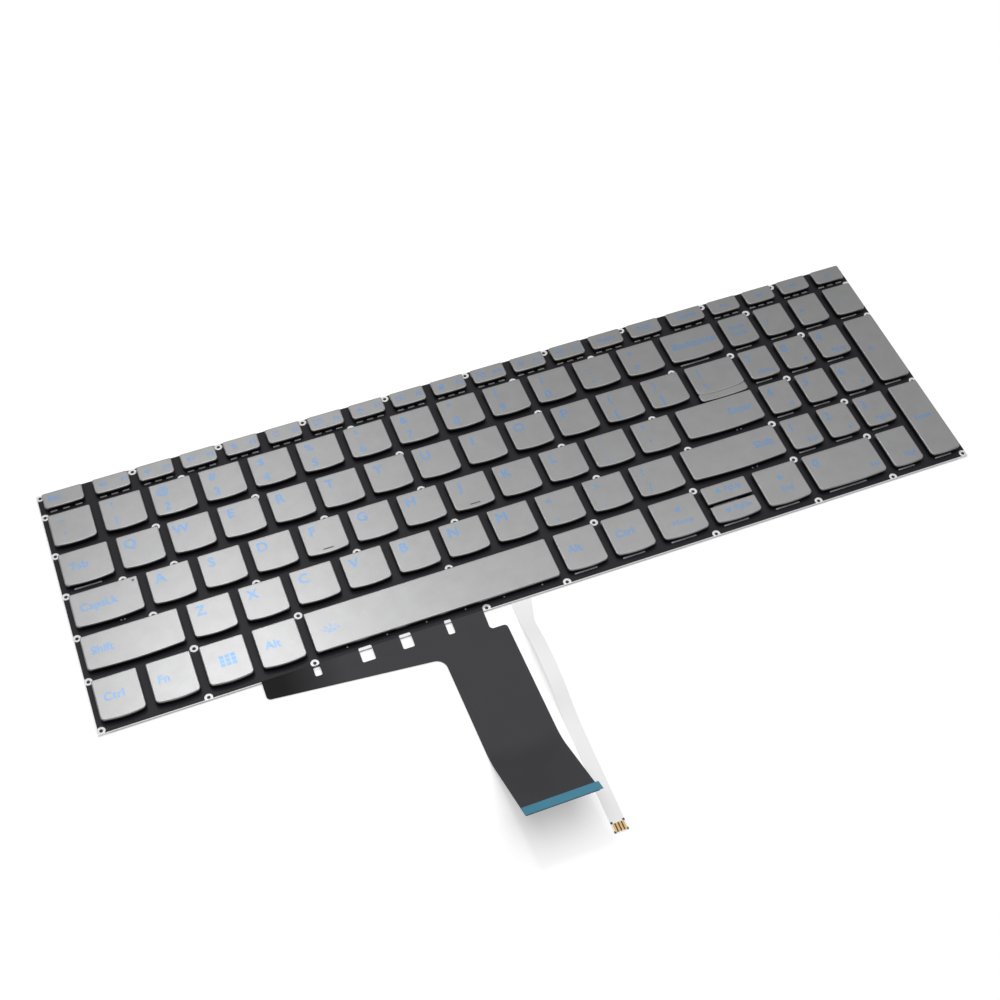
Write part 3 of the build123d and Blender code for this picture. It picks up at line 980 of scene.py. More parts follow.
@dataclass
class SignMaker:
    """Signs that the font lacks, each drawn in a box one unit high, in strokes, areas and rings."""

    line: float = 0.10
    arc_steps: int = 14
    arrow: float = 0.58
    disc_sides: int = 16
    ray_gap: float = 0.12

    def stroke(self, *points: tuple[float, float]) -> list[np.ndarray]:
        """Returns a straight or bent line of even width, one bar for each run."""
        runs = np.array(points, dtype=float)
        bars = []
        for start, end in zip(runs[:-1], runs[1:]):
            along = (end - start) / np.linalg.norm(end - start) * self.line / 2.0
            side = np.array([-along[1], along[0]])
            near, far = start - along, end + along
            bars.append(np.array([near - side, far - side, far + side, near + side]))
        return bars

    def arc(self, x: float, y: float, radius: float, start: float, end: float) -> list[np.ndarray]:
        """Returns part of a ring: its outer edge one way and its inner edge back."""
        turns = np.radians(np.linspace(start, end, self.arc_steps))
        way = np.column_stack([np.cos(turns), np.sin(turns)])
        outer, inner = radius + self.line / 2.0, radius - self.line / 2.0
        return [np.array([x, y]) + np.vstack([outer * way, inner * way[::-1]])]

    def rays(self, x: float, y: float, near: float, far: float, turns: Iterable[float]) -> list[np.ndarray]:
        """Returns short strokes that point away from a middle."""
        ways = [np.array([np.cos(np.radians(a)), np.sin(np.radians(a))]) for a in turns]
        middle = np.array([x, y])
        return [bar for way in ways for bar in self.stroke(middle + near * way, middle + far * way)]

    def box(self, left: float, low: float, right: float, high: float) -> list[np.ndarray]:
        """Returns a hollow rectangle of four strokes."""
        return self.stroke((left, low), (right, low), (right, high), (left, high), (left, low))

    def triangle(self, x: float, y: float, radius: float, turn: float) -> list[np.ndarray]:
        """Returns a filled triangle that points along a turn in degrees."""
        turns = np.radians(turn + np.array([0.0, 120.0, 240.0]))
        return [np.array([x, y]) + radius * np.column_stack([np.cos(turns), np.sin(turns)])]

    def sun(self, radius: float, reach: float) -> list[np.ndarray]:
        """Returns a small disc with eight rays."""
        rays = self.rays(0.5, 0.5, radius + self.ray_gap, reach, range(0, 360, 45))
        return [circle(radius, self.disc_sides, 0.5, 0.5), *rays]

    def sound_signs(self) -> dict[str, list[np.ndarray]]:
        """Draws the signs of the loudspeaker and of the microphone."""
        speaker = [np.array([(0.0, 0.33), (0.2, 0.33), (0.45, 0.05), (0.45, 0.95), (0.2, 0.67), (0.0, 0.67)])]
        near, far = (self.arc(0.45, 0.5, radius, -50, 50) for radius in (0.25, 0.48))
        cross = self.stroke((0.6, 0.3), (0.95, 0.7)) + self.stroke((0.6, 0.7), (0.95, 0.3))
        capsule = [rounded(0.32, 0.6, 0.155) + np.array([0.4, 0.66])]
        stand = self.arc(0.4, 0.55, 0.32, 190, 350) + self.stroke((0.4, 0.2), (0.4, 0.05))
        return {
            "<mute>": speaker + cross,
            "<quieter>": speaker + near,
            "<louder>": speaker + near + far,
            "<microphone>": capsule + stand + self.stroke((0.0, 0.95), (0.8, 0.1)),
        }

    def device_signs(self) -> dict[str, list[np.ndarray]]:
        """Draws the signs of the screens, the touchpad, the camera and the like."""
        left_wing = np.array([
            (0.5, 1.0), (0.42, 0.7), (0.0, 0.4), (0.0, 0.28), (0.42, 0.42), (0.44, 0.16), (0.3, 0.06),
            (0.3, 0.0), (0.5, 0.05),
        ])
        right_wing = np.column_stack([1.0 - left_wing[:, 0], left_wing[:, 1]])[-2:0:-1]
        fields = [(x, y) for x in (0.0, 0.46, 0.92) for y in (0.0, 0.365, 0.73)]
        return {
            "<reload>": self.arc(0.45, 0.46, 0.38, 70, 360) + self.triangle(0.62, 0.86, 0.2, -20),
            "<touchpad>": self.box(0.0, 0.1, 1.1, 0.9) + self.stroke((0.1, 0.05), (1.0, 0.95)),
            "<aeroplane>": [np.vstack([left_wing, right_wing])],
            "<camera>": self.box(0.0, 0.15, 1.1, 0.85) + [circle(0.17, 14, 0.55, 0.5)],
            "<lock>": [rectangle(0.08, 0.0, 0.82, 0.55)] + self.arc(0.45, 0.55, 0.26, 0, 180),
            "<screens>": self.box(0.05, 0.35, 0.8, 0.95) + self.box(0.5, 0.05, 1.2, 0.6),
            "<grid>": [rectangle(x, y, x + 0.36, y + 0.27) for x, y in fields],
        }

    def light_signs(self) -> dict[str, list[np.ndarray]]:
        """Draws the signs of the screen's brightness and of the backlight."""
        lamp = self.arc(0.7, 0.0, 0.32, 12, 168) + self.stroke((0.34, 0.05), (1.06, 0.05))
        return {
            "<dimmer>": self.sun(0.14, 0.42),
            "<brighter>": self.sun(0.2, 0.52),
            "<backlight>": lamp + self.rays(0.7, 0.05, 0.52, 0.86, (20, 50, 90, 130, 160)),
        }

    def player_signs(self) -> dict[str, list[np.ndarray]]:
        """Draws the power sign and the signs that play, pause and skip."""
        forward = self.triangle(0.3, 0.5, 0.36, 0)
        pause = self.stroke((0.85, 0.2), (0.85, 0.8)) + self.stroke((1.1, 0.2), (1.1, 0.8))
        return {
            "<power>": self.arc(0.5, 0.45, 0.4, 125, 415) + self.stroke((0.5, 0.5), (0.5, 0.95)),
            "<play>": forward + pause,
            "<previous>": self.triangle(0.45, 0.5, 0.36, 180) + self.triangle(0.95, 0.5, 0.36, 180),
            "<next>": forward + self.triangle(0.8, 0.5, 0.36, 0),
        }

    def drawings(self) -> dict[str, list[np.ndarray]]:
        """Returns the outlines of every sign by its name, with the four arrows."""
        turns = {"<right>": 0, "<up>": 90, "<left>": 180, "<down>": 270}
        arrows = {name: self.triangle(0.5, 0.5, self.arrow, turn) for name, turn in turns.items()}
        return self.sound_signs() | self.device_signs() | self.light_signs() | self.player_signs() | arrows


@dataclass
class PrintMaker:
    """Blue print on the caps: words in the built-in font, and signs, as thin solids on the cap tops."""

    thickness: float = 0.025
    sunk: float = 0.010
    curve_steps: int = 3
    bolder: tuple[float, float] = (0.055, 0.035)
    layer: float = 0.06
    capital: float = 0.682
    letter: float = 3.9
    letter_x: float = 4.6
    letter_y: float = 4.35
    symbol: float = 3.2
    digit: float = 3.5
    symbol_y: float = 3.75
    digit_y: float = 11.2
    digit_shift: float = 0.2
    word: float = 3.1
    word_x: float = 2.9
    word_lift: float = 0.5
    end_word_lift: float = 0.3
    small: float = 2.2
    tiny: float = 1.9
    signs: dict[str, list[np.ndarray]] = field(default_factory=lambda: SignMaker().drawings())
    glyphs: dict[str, Surface] = field(default_factory=dict)

    def words(self, text: str) -> Surface:
        """Turns a word into a surface with capitals one unit high and its left end at the origin."""
        curve = bpy.data.curves.new("print", "FONT")
        curve.body = text
        curve.resolution_u = self.curve_steps
        curve.extrude = 1.0
        holder = bpy.data.objects.new("print", curve)
        mesh = bpy.data.meshes.new_from_object(holder)
        points, triangles = mesh_arrays(mesh)
        for block, data in ((bpy.data.objects, holder), (bpy.data.curves, curve), (bpy.data.meshes, mesh)):
            block.remove(data)
        points = points / np.array([self.capital, self.capital, 1.0])
        points[:, 0] -= points[:, 0].min()
        return Surface(points, [triangles])

    def glyph(self, text: str) -> Surface:
        """Builds a word or a sign once, one unit high and about two units thick.

        A word is joined with a shifted twin, which makes its strokes bolder. Shapes that overlap end at
        heights of their own, so that no two of their top faces lie in one plane.

        Args:
            text: The word, or the sign's name.

        Returns:
            The surface about the middle of its thickness.
        """
        if text not in self.glyphs:
            if text in self.signs:
                shapes = enumerate(self.signs[text])
                layers = [prism(shape, -1.0, 1.0 + self.layer * i) for i, shape in shapes]
            else:
                thin = self.words(text)
                twin = Surface(thin.points * np.array([1.0, 1.0, 1.0 + self.layer]), thin.faces)
                x, y = self.bolder
                layers = [thin.moved(-x / 2, -y / 2, 0.0), twin.moved(x / 2, y / 2, 0.0)]
            self.glyphs[text] = Surface.join(layers)
        return self.glyphs[text]

    def printed(self, mark: Mark, cap: Cap) -> Surface:
        """Sets one mark on a cap.

        Args:
            mark: What is printed and where.
            cap: The cap under it.

        Returns:
            The print as a thin solid that starts just under the cap's top face.
        """
        glyph = self.glyph(mark.text)
        points = glyph.points.copy()
        points[:, :2] *= mark.height
        reach = points[:, 0].max() - points[:, 0].min()
        points[:, 0] += cap.left + mark.x - reach * mark.side.value - points[:, 0].min()
        points[:, 1] += cap.back - mark.y - mark.height / 2.0
        lifts = np.where(points[:, 2] > 0.0, points[:, 2] * self.thickness, -self.sunk)
        points[:, 2] = cap.top + lifts
        return Surface(points, glyph.faces)

    def marks(self, keys: KeyField) -> dict[str, list[Mark]]:
        """Lists what is printed on each cap."""
        found: dict[str, list[Mark]] = {}
        for name in "qwertyuiopasdfghjklzxcvbnm":
            found[name] = [Mark(name.upper(), self.letter_x, self.letter_y, self.letter)]
        pairs = dict(zip("1234567890", "!@#$%^&*()"))
        pairs |= {"grave": "~`", "minus": "_-", "equals": "+=", "left_bracket": "{[", "right_bracket": "}]"}
        pairs |= {"backslash": "|\\", "semicolon": ":;", "quote": "\"'"}
        pairs |= {"comma": "<,", "period": ">.", "slash": "?/"}
        for name, signs in pairs.items():
            upper, lower = signs[0], signs[-1] if len(signs) > 1 else name
            found[name] = [
                Mark(upper, self.letter_x, self.symbol_y, self.symbol),
                Mark(lower, self.letter_x + self.digit_shift, self.digit_y, self.digit),
            ]
        words = {"tab": "Tab", "caps_lock": "CapsLk", "left_shift": "Shift", "left_ctrl": "Ctrl", "fn": "Fn"}
        words |= {"left_alt": "Alt", "right_alt": "Alt", "right_ctrl": "Ctrl", "backspace": "Backspace"}
        for name, word in words.items():
            middle = keys.caps[name].depth / 2.0 - self.word_lift
            found[name] = [Mark(word, self.word_x, middle, self.word, Side.LEFT)]
        for name, word in (("enter", "Enter"), ("right_shift", "Shift")):
            cap = keys.caps[name]
            middle = cap.depth / 2.0 - self.end_word_lift
            found[name] = [Mark(word, cap.width - self.word_x, middle, self.word, Side.RIGHT)]
        found["system"] = [Mark("<grid>", keys.caps["system"].width / 2.0 + 0.5, 8.6, 4.5)]
        found["space"] = [Mark("<backlight>", 7.8, 8.6, 3.7)]
        found |= self.pad_marks(keys) | self.function_marks(keys)
        return found

    def pad_marks(self, keys: KeyField) -> dict[str, list[Mark]]:
        """Lists what is printed on the number pad and on the arrow keys."""
        found = {}
        for name, sign in (("divide", "/"), ("multiply", "*"), ("subtract", "-")):
            found[name] = [Mark(sign, 3.2, 7.9, self.symbol)]
        found["add"] = [Mark("+", 4.0, keys.caps["add"].depth / 2.0 - 0.4, self.symbol)]
        found["num_lock"] = [Mark("Num", 6.0, 5.6, self.small), Mark("Lock", 6.0, 9.2, self.small)]
        found["pad_enter"] = [Mark("Enter", 6.3, keys.caps["pad_enter"].depth / 2.0 - 0.7, self.small)]
        seconds = {7: "Home", 8: "<up>", 9: "PgUp", 4: "<left>", 6: "<right>"}
        seconds |= {1: "End", 2: "<down>", 3: "PgDn"}
        for number in range(1, 10):
            marks = [Mark(str(number), 3.0, 4.4, self.digit)]
            if number in seconds:
                arrow = seconds[number].startswith("<")
                marks.append(Mark(seconds[number], 9.8 if arrow else 10.6, 12.0, self.tiny, Side.RIGHT))
            found[f"pad_{number}"] = marks
        found["pad_0"] = [Mark("0", 4.0, 4.6, self.digit), Mark("Ins", 26.8, 12.6, self.small, Side.RIGHT)]
        found["point"] = [Mark(".", 3.2, 4.0, self.digit), Mark("Del", 10.6, 12.6, self.small, Side.RIGHT)]
        for name, word in (("left", "Home"), ("right", "End")):
            found[name] = [Mark(f"<{name}>", 9.6, 5.7, 2.7), Mark(word, 9.9, 11.1, self.small)]
        for name, word in (("up", "PgUp"), ("down", "PgDn")):
            found[name] = [Mark(f"<{name}>", 6.2, 3.3, 2.7), Mark(word, 12.3, 3.1, self.small)]
        return found

    def function_marks(self, keys: KeyField) -> dict[str, list[Mark]]:
        """Lists what is printed on the function row."""
        found = {"esc": [Mark("Esc", 2.1, 3.0, 2.6, Side.LEFT)]}
        signs = (
            "mute", "quieter", "louder", "microphone", "reload", "touchpad",
            "aeroplane", "camera", "lock", "screens", "dimmer", "brighter",
        )
        for number, sign in enumerate(signs, start=1):
            found[f"f{number}"] = [
                Mark(f"<{sign}>", 3.8, 3.5, 3.0),
                Mark(f"F{number}", keys.caps["f1"].width - 1.1, 3.9, self.tiny, Side.RIGHT),
            ]
        for name, word in (("insert", "Insert"), ("print", "PrtSc"), ("delete", "Delete")):
            found[name] = [Mark(word, keys.caps[name].width / 2.0 + 0.4, 3.5, self.small)]
        for name in ("play", "previous", "next", "power"):
            found[name] = [Mark(f"<{name}>", 6.2, 3.8, 2.9)]
        return found

    def build(self, keys: KeyField) -> None:
        """Makes the print: one piece for each key that travels, and one for each row that shares a node."""
        nodes: dict[str, list[Surface]] = {}
        for name, marks in self.marks(keys).items():
            cap = keys.caps[name]
            nodes.setdefault(cap.node, []).extend(self.printed(mark, cap) for mark in marks)
        for node, prints in nodes.items():
            body = node if node.startswith("key_") else "root"
            Surface.join(prints).piece(f"{node}_print", INK_BLUE, body)


# Plate, film and stakes


@dataclass
class PlateStack:
    """The steel plate, the black film on it, and the stakes in the film's round clearances."""

    stake_radius: float = 0.65
    ring_radius: float = 1.55
    ring_sides: int = 24
    hole_sides: int = 16
    film_corner: float = 2.1
    eyelet_reach: float = 1.30
    eyelet_height: float = 0.10
    eyelet_sunk: float = 0.01
    eyelet_steps: int = 7
    # Painted shade in the holes: where the dark discs sit and how big they are.
    pin_drop: float = 0.22
    pin_height: float = 0.15
    pin_gap: float = 0.02
    crown_share: float = 0.6
    crown_rise: float = 0.03
    stakes: np.ndarray = field(default_factory=lambda: np.empty((0, 2)))

    def plate(self) -> None:
        """Makes the plate with a round hole at every stake."""
        low, high = node_box("base_plate")
        holes = [circle(self.stake_radius, self.hole_sides, x, y) for x, y in self.stakes]
        outline = rectangle(low[0], low[1], high[0], high[1])
        piece = flat_sheet(outline, holes, low[2], high[2]).piece("steel_plate", PLATE_STEEL)
        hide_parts("base_plate")

    def clearances(self) -> list[np.ndarray]:
        """Returns the round clearance at every stake."""
        return [circle(self.ring_radius, self.ring_sides, x, y) for x, y in self.stakes]

    def film(self, windows: list[np.ndarray]) -> None:
        """Makes the black film, cut clear of the stakes and of the flange's windows."""
        low, high = node_box("membrane_sheet")
        cut = self.film_corner
        outline = np.array([
            (low[0] + cut, low[1]), (high[0] - cut, low[1]),
            (high[0], low[1] + cut), (high[0], high[1] - cut),
            (high[0] - cut, high[1]), (low[0] + cut, high[1]),
            (low[0], high[1] - cut), (low[0], low[1] + cut),
        ])
        holes = self.clearances() + windows
        piece = flat_sheet(outline, holes, low[2], high[2]).piece("black_film", FILM_BLACK)
        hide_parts("membrane_sheet")

    def eyelets(self) -> None:
        """Makes the pressed rim round each stake hole: a low half-round bead turned about the hole."""
        low, high = node_box("base_plate")
        turns = np.linspace(0.0, np.pi, self.eyelet_steps)
        share = (1.0 + np.cos(turns)) / 2.0
        radii = self.stake_radius + (self.eyelet_reach - self.stake_radius) * share
        heights = high[2] + self.eyelet_height * np.sin(turns) - self.eyelet_sunk
        rings = np.stack([at_height(circle(r, self.ring_sides), z) for r, z in zip(radii, heights)])
        bead = loft(rings, hoop=True)
        clear = self.stakes[self.stakes[:, 1] - self.eyelet_reach > low[1]]
        Surface.join(bead.moved(x, y, 0.0) for x, y in clear).piece("stake_eyelets", PLATE_STEEL)

    def pins(self) -> None:
        """Makes dark discs sunk in the plate's stake holes: painted shade at the bottom of each hole."""
        top = node_box("base_plate")[1][2] - self.pin_drop
        radius = self.stake_radius - self.pin_gap
        crown = (radius * self.crown_share, top + self.crown_rise)
        shade_disc = revolve([(radius, top - self.pin_height), (radius, top), crown], self.hole_sides)
        Surface.join(shade_disc.moved(x, y, 0.0) for x, y in self.stakes).piece("stake_hole_shades", HOLE_SHADE_BLACK)

    def build(self, windows: list[np.ndarray]) -> None:
        """Makes the plate, the film, the eyelets and the painted shade in the stake holes, and finishes the
        sheets under them.
        """
        self.plate()
        self.film(windows)
        self.eyelets()
        self.pins()
        for node, finish in (("light_guide", GUIDE_CLEAR), ("reflector_film", REFLECTOR_WHITE)):
            dress_node(node, finish)


def dress_node(node: str, finish: Finish) -> None:
    """Gives a node of the frame its finish."""
    mesh = frame["nodes"][node].data
    mesh.materials.clear()
    mesh.materials.append(material_of(finish))
    LOG.info("%s: finished as %s", node, finish.name)


# Parts under the keys


@dataclass
class CarrierMaker:
    """What holds a cap up: a rubber dome, two crossed scissor frames, and a wire under a wide key."""

    frame_length: float = 10.6
    frame_thickness: float = 0.55
    frame_arm: float = 1.0
    frame_bar: float = 0.8
    frame_corner: float = 0.8
    opening_corner: float = 0.4
    headroom: float = 0.02
    clearance: float = 0.2
    span: float = 60.0
    cap_width: float = 16.0
    cap_wall: float = 1.0
    front_wall: float = 0.7
    dome_radius: float = 2.4
    dome_sides: int = 14

    # Shares of the radius, with heights for the flange and shares of the rise for the skirt
    dome_flange: tuple[tuple[float, float], ...] = ((1.0, 0.0), (1.0, 0.18), (0.86, 0.22))
    dome_skirt: tuple[tuple[float, float], ...] = ((0.62, 0.62), (0.46, 0.72), (0.44, 0.97), (0.40, 1.0))

    wide_key: float = 22.0
    wire: float = 0.5
    wire_leg: float = 3.0
    wire_sides: int = 10
    least_mitre: float = 0.5
    roof: float = 0.7
    travel: float = 1.3

    def scissor(self, width: float, length: float, rise: float, way: int) -> Surface:
        """Builds one frame: a hollow rounded rectangle that climbs evenly from one end to the other.

        Args:
            width: Its width.
            length: Its length.
            rise: Height from the film to the roof of the cap.
            way: 1 if it climbs to the back, and -1 if it climbs to the front.

        Returns:
            The frame about its middle, with the film at height 0.
        """
        outer = rounded(width, length, self.frame_corner)
        inner = rounded(width - 2 * self.frame_arm, length - 2 * self.frame_bar, self.opening_corner)
        shape = tube_ring(outer, inner, 0.0, self.frame_thickness)
        climb = (rise - self.frame_thickness) * (0.5 + way * shape.points[:, 1] / length)
        shape.points[:, 2] += climb
        return shape

    def dome(self, room: float, rise: float) -> Surface:
        """Builds the rubber dome: a flange, a leaning skirt and a flat crown, turned about the middle.

        Args:
            room: The largest radius that fits in the frames.
            rise: Height from the film to the roof of the cap.

        Returns:
            The dome about its middle, with the film at height 0.
        """
        radius = min(self.dome_radius, room)
        profile = [(share * radius, height) for share, height in self.dome_flange]
        profile += [(share * radius, height * rise) for share, height in self.dome_skirt]
        return revolve(profile, self.dome_sides)

    def places(self, cap: Cap) -> list[tuple[float, float, float, float]]:
        """Returns the middle, width and length of each carrier under a cap."""
        left, right = cap.left + self.cap_wall, cap.right - self.cap_wall
        front, back = cap.front + cap.bow + self.front_wall, cap.back - self.cap_wall
        count = 1 + int((right - left) // self.span)
        step = (right - left) / count
        width = min(step, self.cap_width - 2 * self.cap_wall) - 2 * self.clearance
        length = min(self.frame_length, back - front - 2 * self.clearance)
        return [(left + (i + 0.5) * step, (front + back) / 2.0, width, length) for i in range(count)]

    def carrier(self, cap: Cap, film_top: float) -> tuple[Surface, Surface]:
        """Returns the frames and the domes under one cap."""
        rise = cap.top - self.roof - film_top - self.headroom
        frames, domes = [], []
        for x, y, width, length in self.places(cap):
            inner = width - 2 * (self.frame_arm + self.clearance)
            frames.append(self.scissor(width, length, rise, 1).moved(x, y, film_top))
            frames.append(self.scissor(inner, length, rise, -1).moved(x, y, film_top))
            room = length / 2.0 - self.frame_bar - self.clearance
            domes.append(self.dome(room, rise).moved(x, y, film_top))
        return Surface.join(frames), Surface.join(domes)

    def wires(self, keys: KeyField, film_top: float) -> Surface:
        """Builds the bent wires under wide keys: a round section carried along three straight runs."""
        shapes = []
        for cap in keys.caps.values():
            if cap.width < self.wide_key:
                continue
            left = cap.left + self.cap_wall + self.clearance + self.wire / 2.0
            right = cap.right - self.cap_wall - self.clearance - self.wire / 2.0
            front = cap.front + cap.bow + self.cap_wall + self.clearance + self.wire / 2.0
            ends = front + self.wire_leg
            path = np.array([(left, ends), (left, front), (right, front), (right, ends)])
            shapes.append(self.wire_along(path, film_top + self.wire / 2.0))
        return Surface.join(shapes)

    def wire_along(self, path: np.ndarray, height: float) -> Surface:
        """Carries a round section along a flat path.

        The section is turned halfway at each corner, and widened there so that the runs keep their
        thickness.

        Args:
            path: The corners of the path, in X and Y.
            height: Height of the wire's middle.

        Returns:
            The closed wire.
        """
        runs = np.diff(path, axis=0)
        runs /= np.linalg.norm(runs, axis=1)[:, None]
        ways = np.vstack([runs[:1], runs[:-1] + runs[1:], runs[-1:]])
        reach = np.linalg.norm(ways, axis=1)
        counts = np.array([1.0, *[2.0] * (len(runs) - 1), 1.0])
        stretch = 1.0 / np.maximum(reach / counts, self.least_mitre)
        ways /= reach[:, None]
        sides = np.column_stack([ways[:, 1], -ways[:, 0]]) * stretch[:, None]
        section = circle(self.wire / 2.0, self.wire_sides)
        flat = path[:, None] + sides[:, None] * section[None, :, :1]
        heights = np.broadcast_to(height + section[None, :, 1:], (len(path), len(section), 1))
        return loft(np.concatenate([flat, heights], axis=2))

    def build(self, keys: KeyField) -> None:
        """Makes the carriers: frames and domes for each key that travels, the same for the rows that share a
        node, and the wires under wide keys.
        """
        film_top = node_box("membrane_sheet")[1][2]
        still: list[tuple[Surface, Surface]] = []
        for cap in keys.caps.values():
            hollow = replace(cap, front=keys.caps["p"].front) if cap.name == "backslash" else cap
            frames, domes = self.carrier(hollow, film_top)
            if cap.body == "root":
                still.append((frames, domes))
                continue
            rise = cap.top - self.roof - film_top
            for kind, shape, finish in (("frames", frames, SCISSOR_WHITE), ("dome", domes, DOME_RUBBER)):
                piece = shape.piece(f"{cap.node}_{kind}", finish)
                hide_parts("scissor_frames" if kind == "frames" else "rubber_domes")
                (rise - self.travel) / rise
                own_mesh(piece)
        Surface.join(frames for frames, domes in still).piece("shared_rows_frames", SCISSOR_WHITE)
        Surface.join(domes for frames, domes in still).piece("shared_rows_domes", DOME_RUBBER)
        piece = self.wires(keys, film_top).piece("stabiliser_wires", BAR_STEEL)
        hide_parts("stabiliser_bars")


@dataclass
class HolderTabs:
    """Bright tabs of the plate that show through the film in front of the caps."""

    height: float = 0.03
    depth: float = 0.60
    behind_front: float = 0.62
    corner: float = 0.25
    dash: float = 2.6
    dash_places: tuple[float, ...] = (0.19, 0.50, 0.81)
    strip_share: float = 0.55
    strip_places: tuple[float, ...] = (0.42,)
    dot: float = 0.6
    dot_places: tuple[float, ...] = (0.62, 0.67)
    space_places: tuple[float, ...] = tuple(np.linspace(0.12, 0.92, 6))

    def tabs(
        self, cap: Cap, film_top: float, places: Iterable[float], length: float, depth: float
    ) -> list[Surface]:
        """Builds low rounded tabs under the front edge of a cap.

        Args:
            cap: The cap.
            film_top: Height of the film's upper face.
            places: Where the tabs lie, as shares of the cap's width.
            length: Length of each tab in X.
            depth: Length of each tab in Y.

        Returns:
            The tabs.
        """
        outline = rounded(length, depth, self.corner)
        y = cap.front + self.behind_front - depth / 2.0
        plate = prism(outline, 0.0, self.height)
        return [plate.moved(cap.left + share * cap.width, y, film_top) for share in places]

    def build(self, keys: KeyField) -> None:
        """Makes the tabs of the function row, of the pad and of the wide keys."""
        film_top = node_box("membrane_sheet")[1][2]
        shapes: list[Surface] = []
        for cap in keys.caps.values():
            if cap.node == "function_row_caps":
                shapes += self.tabs(cap, film_top, self.dash_places, self.dash, self.depth)
            elif cap.node in ("number_pad_caps", "arrow_cluster_caps") or cap.name in ("tab", "backspace"):
                length = self.strip_share * cap.width
                shapes += self.tabs(cap, film_top, self.strip_places, length, self.depth)
            elif cap.name == "space":
                shapes += self.tabs(cap, film_top, self.space_places, self.dot, self.dot)
            elif cap.name in ("enter", "right_shift", "caps_lock"):
                shapes += self.tabs(cap, film_top, self.dot_places, self.dot, self.dot)
        Surface.join(shapes).piece("holder_tabs", TAB_STEEL)


# Tails


@dataclass
class StripPath:
    """The side view of a strip: how high its middle lies at each place in Y."""

    y: np.ndarray
    z: np.ndarray

    @staticmethod
    def follow(y: float, z: float, moves: Iterable[tuple[float, float]], steps: int = 10) -> "StripPath":
        """Walks from a start towards the front in straight runs and arcs.

        Args:
            y: Where the strip starts.
            z: Its height there.
            moves: Pairs of a length and a turn in degrees, which is up for more than 0. A run with no turn
                is straight.
            steps: Points along each arc.

        Returns:
            The path, which never turns back over itself.
        """
        places, heading = [np.array([[y, z]])], 0.0
        for length, turn in moves:
            count = steps if turn else 1
            turns = np.radians(heading + turn * (np.arange(count) + 0.5) / count)
            way = np.column_stack([-np.cos(turns), np.sin(turns)]) * length / count
            places.append(places[-1][-1] + np.cumsum(way, axis=0))
            heading += turn
        line = np.vstack(places)
        return StripPath(line[::-1, 0], line[::-1, 1])

    def lay(self, flat: Divided, thickness: float) -> Surface:
        """Lays a divided flat sheet along the path.

        Each point takes the path's height at its Y, and the two faces stand off by half the thickness,
        square to the path.

        Args:
            flat: The sheet, from pierced_sheet.
            thickness: Its thickness.

        Returns:
            The closed sheet.
        """
        points = flat[0]
        height = np.interp(points[:, 1], self.y, self.z)
        slope = np.interp(points[:, 1], self.y, np.gradient(self.z, self.y))
        lean = thickness / 2.0 / np.hypot(1.0, slope)
        offset = np.column_stack([np.zeros(len(points)), -slope * lean, lean])
        middle = np.column_stack([points, height])
        return thick_sheet(flat, middle - offset, middle + offset)


def step_arcs(run: float, rise: float) -> tuple[float, float]:
    """Returns the turn in degrees and the length of each of the two equal arcs that climb a step."""
    turn = 2.0 * np.arctan(rise / (2.0 * run))
    return float(np.degrees(turn)), float(run / np.sin(turn) * turn)


def fillet(before: tuple, corner: tuple, after: tuple, radius: float, steps: int = 6) -> np.ndarray:
    """Rounds one corner of an outline with an arc that touches both of its sides.

    Args:
        before: The corner before it.
        corner: The corner.
        after: The corner after it.
        radius: Radius of the arc.
        steps: Points on the arc.

    Returns:
        The points of the arc.
    """
    corner = np.array(corner)
    one, two = (np.array(p) - corner for p in (before, after))
    one, two = one / np.linalg.norm(one), two / np.linalg.norm(two)
    half = np.arccos(np.clip(one @ two, -1.0, 1.0)) / 2.0
    middle = corner + (one + two) / np.linalg.norm(one + two) * radius / np.sin(half)
    start, end = (corner + way * radius / np.tan(half) - middle for way in (one, two))
    share = np.linspace(0.0, 1.0, steps)[:, None]
    ways = start * (1.0 - share) + end * share
    return middle + radius * ways / np.linalg.norm(ways, axis=1)[:, None]


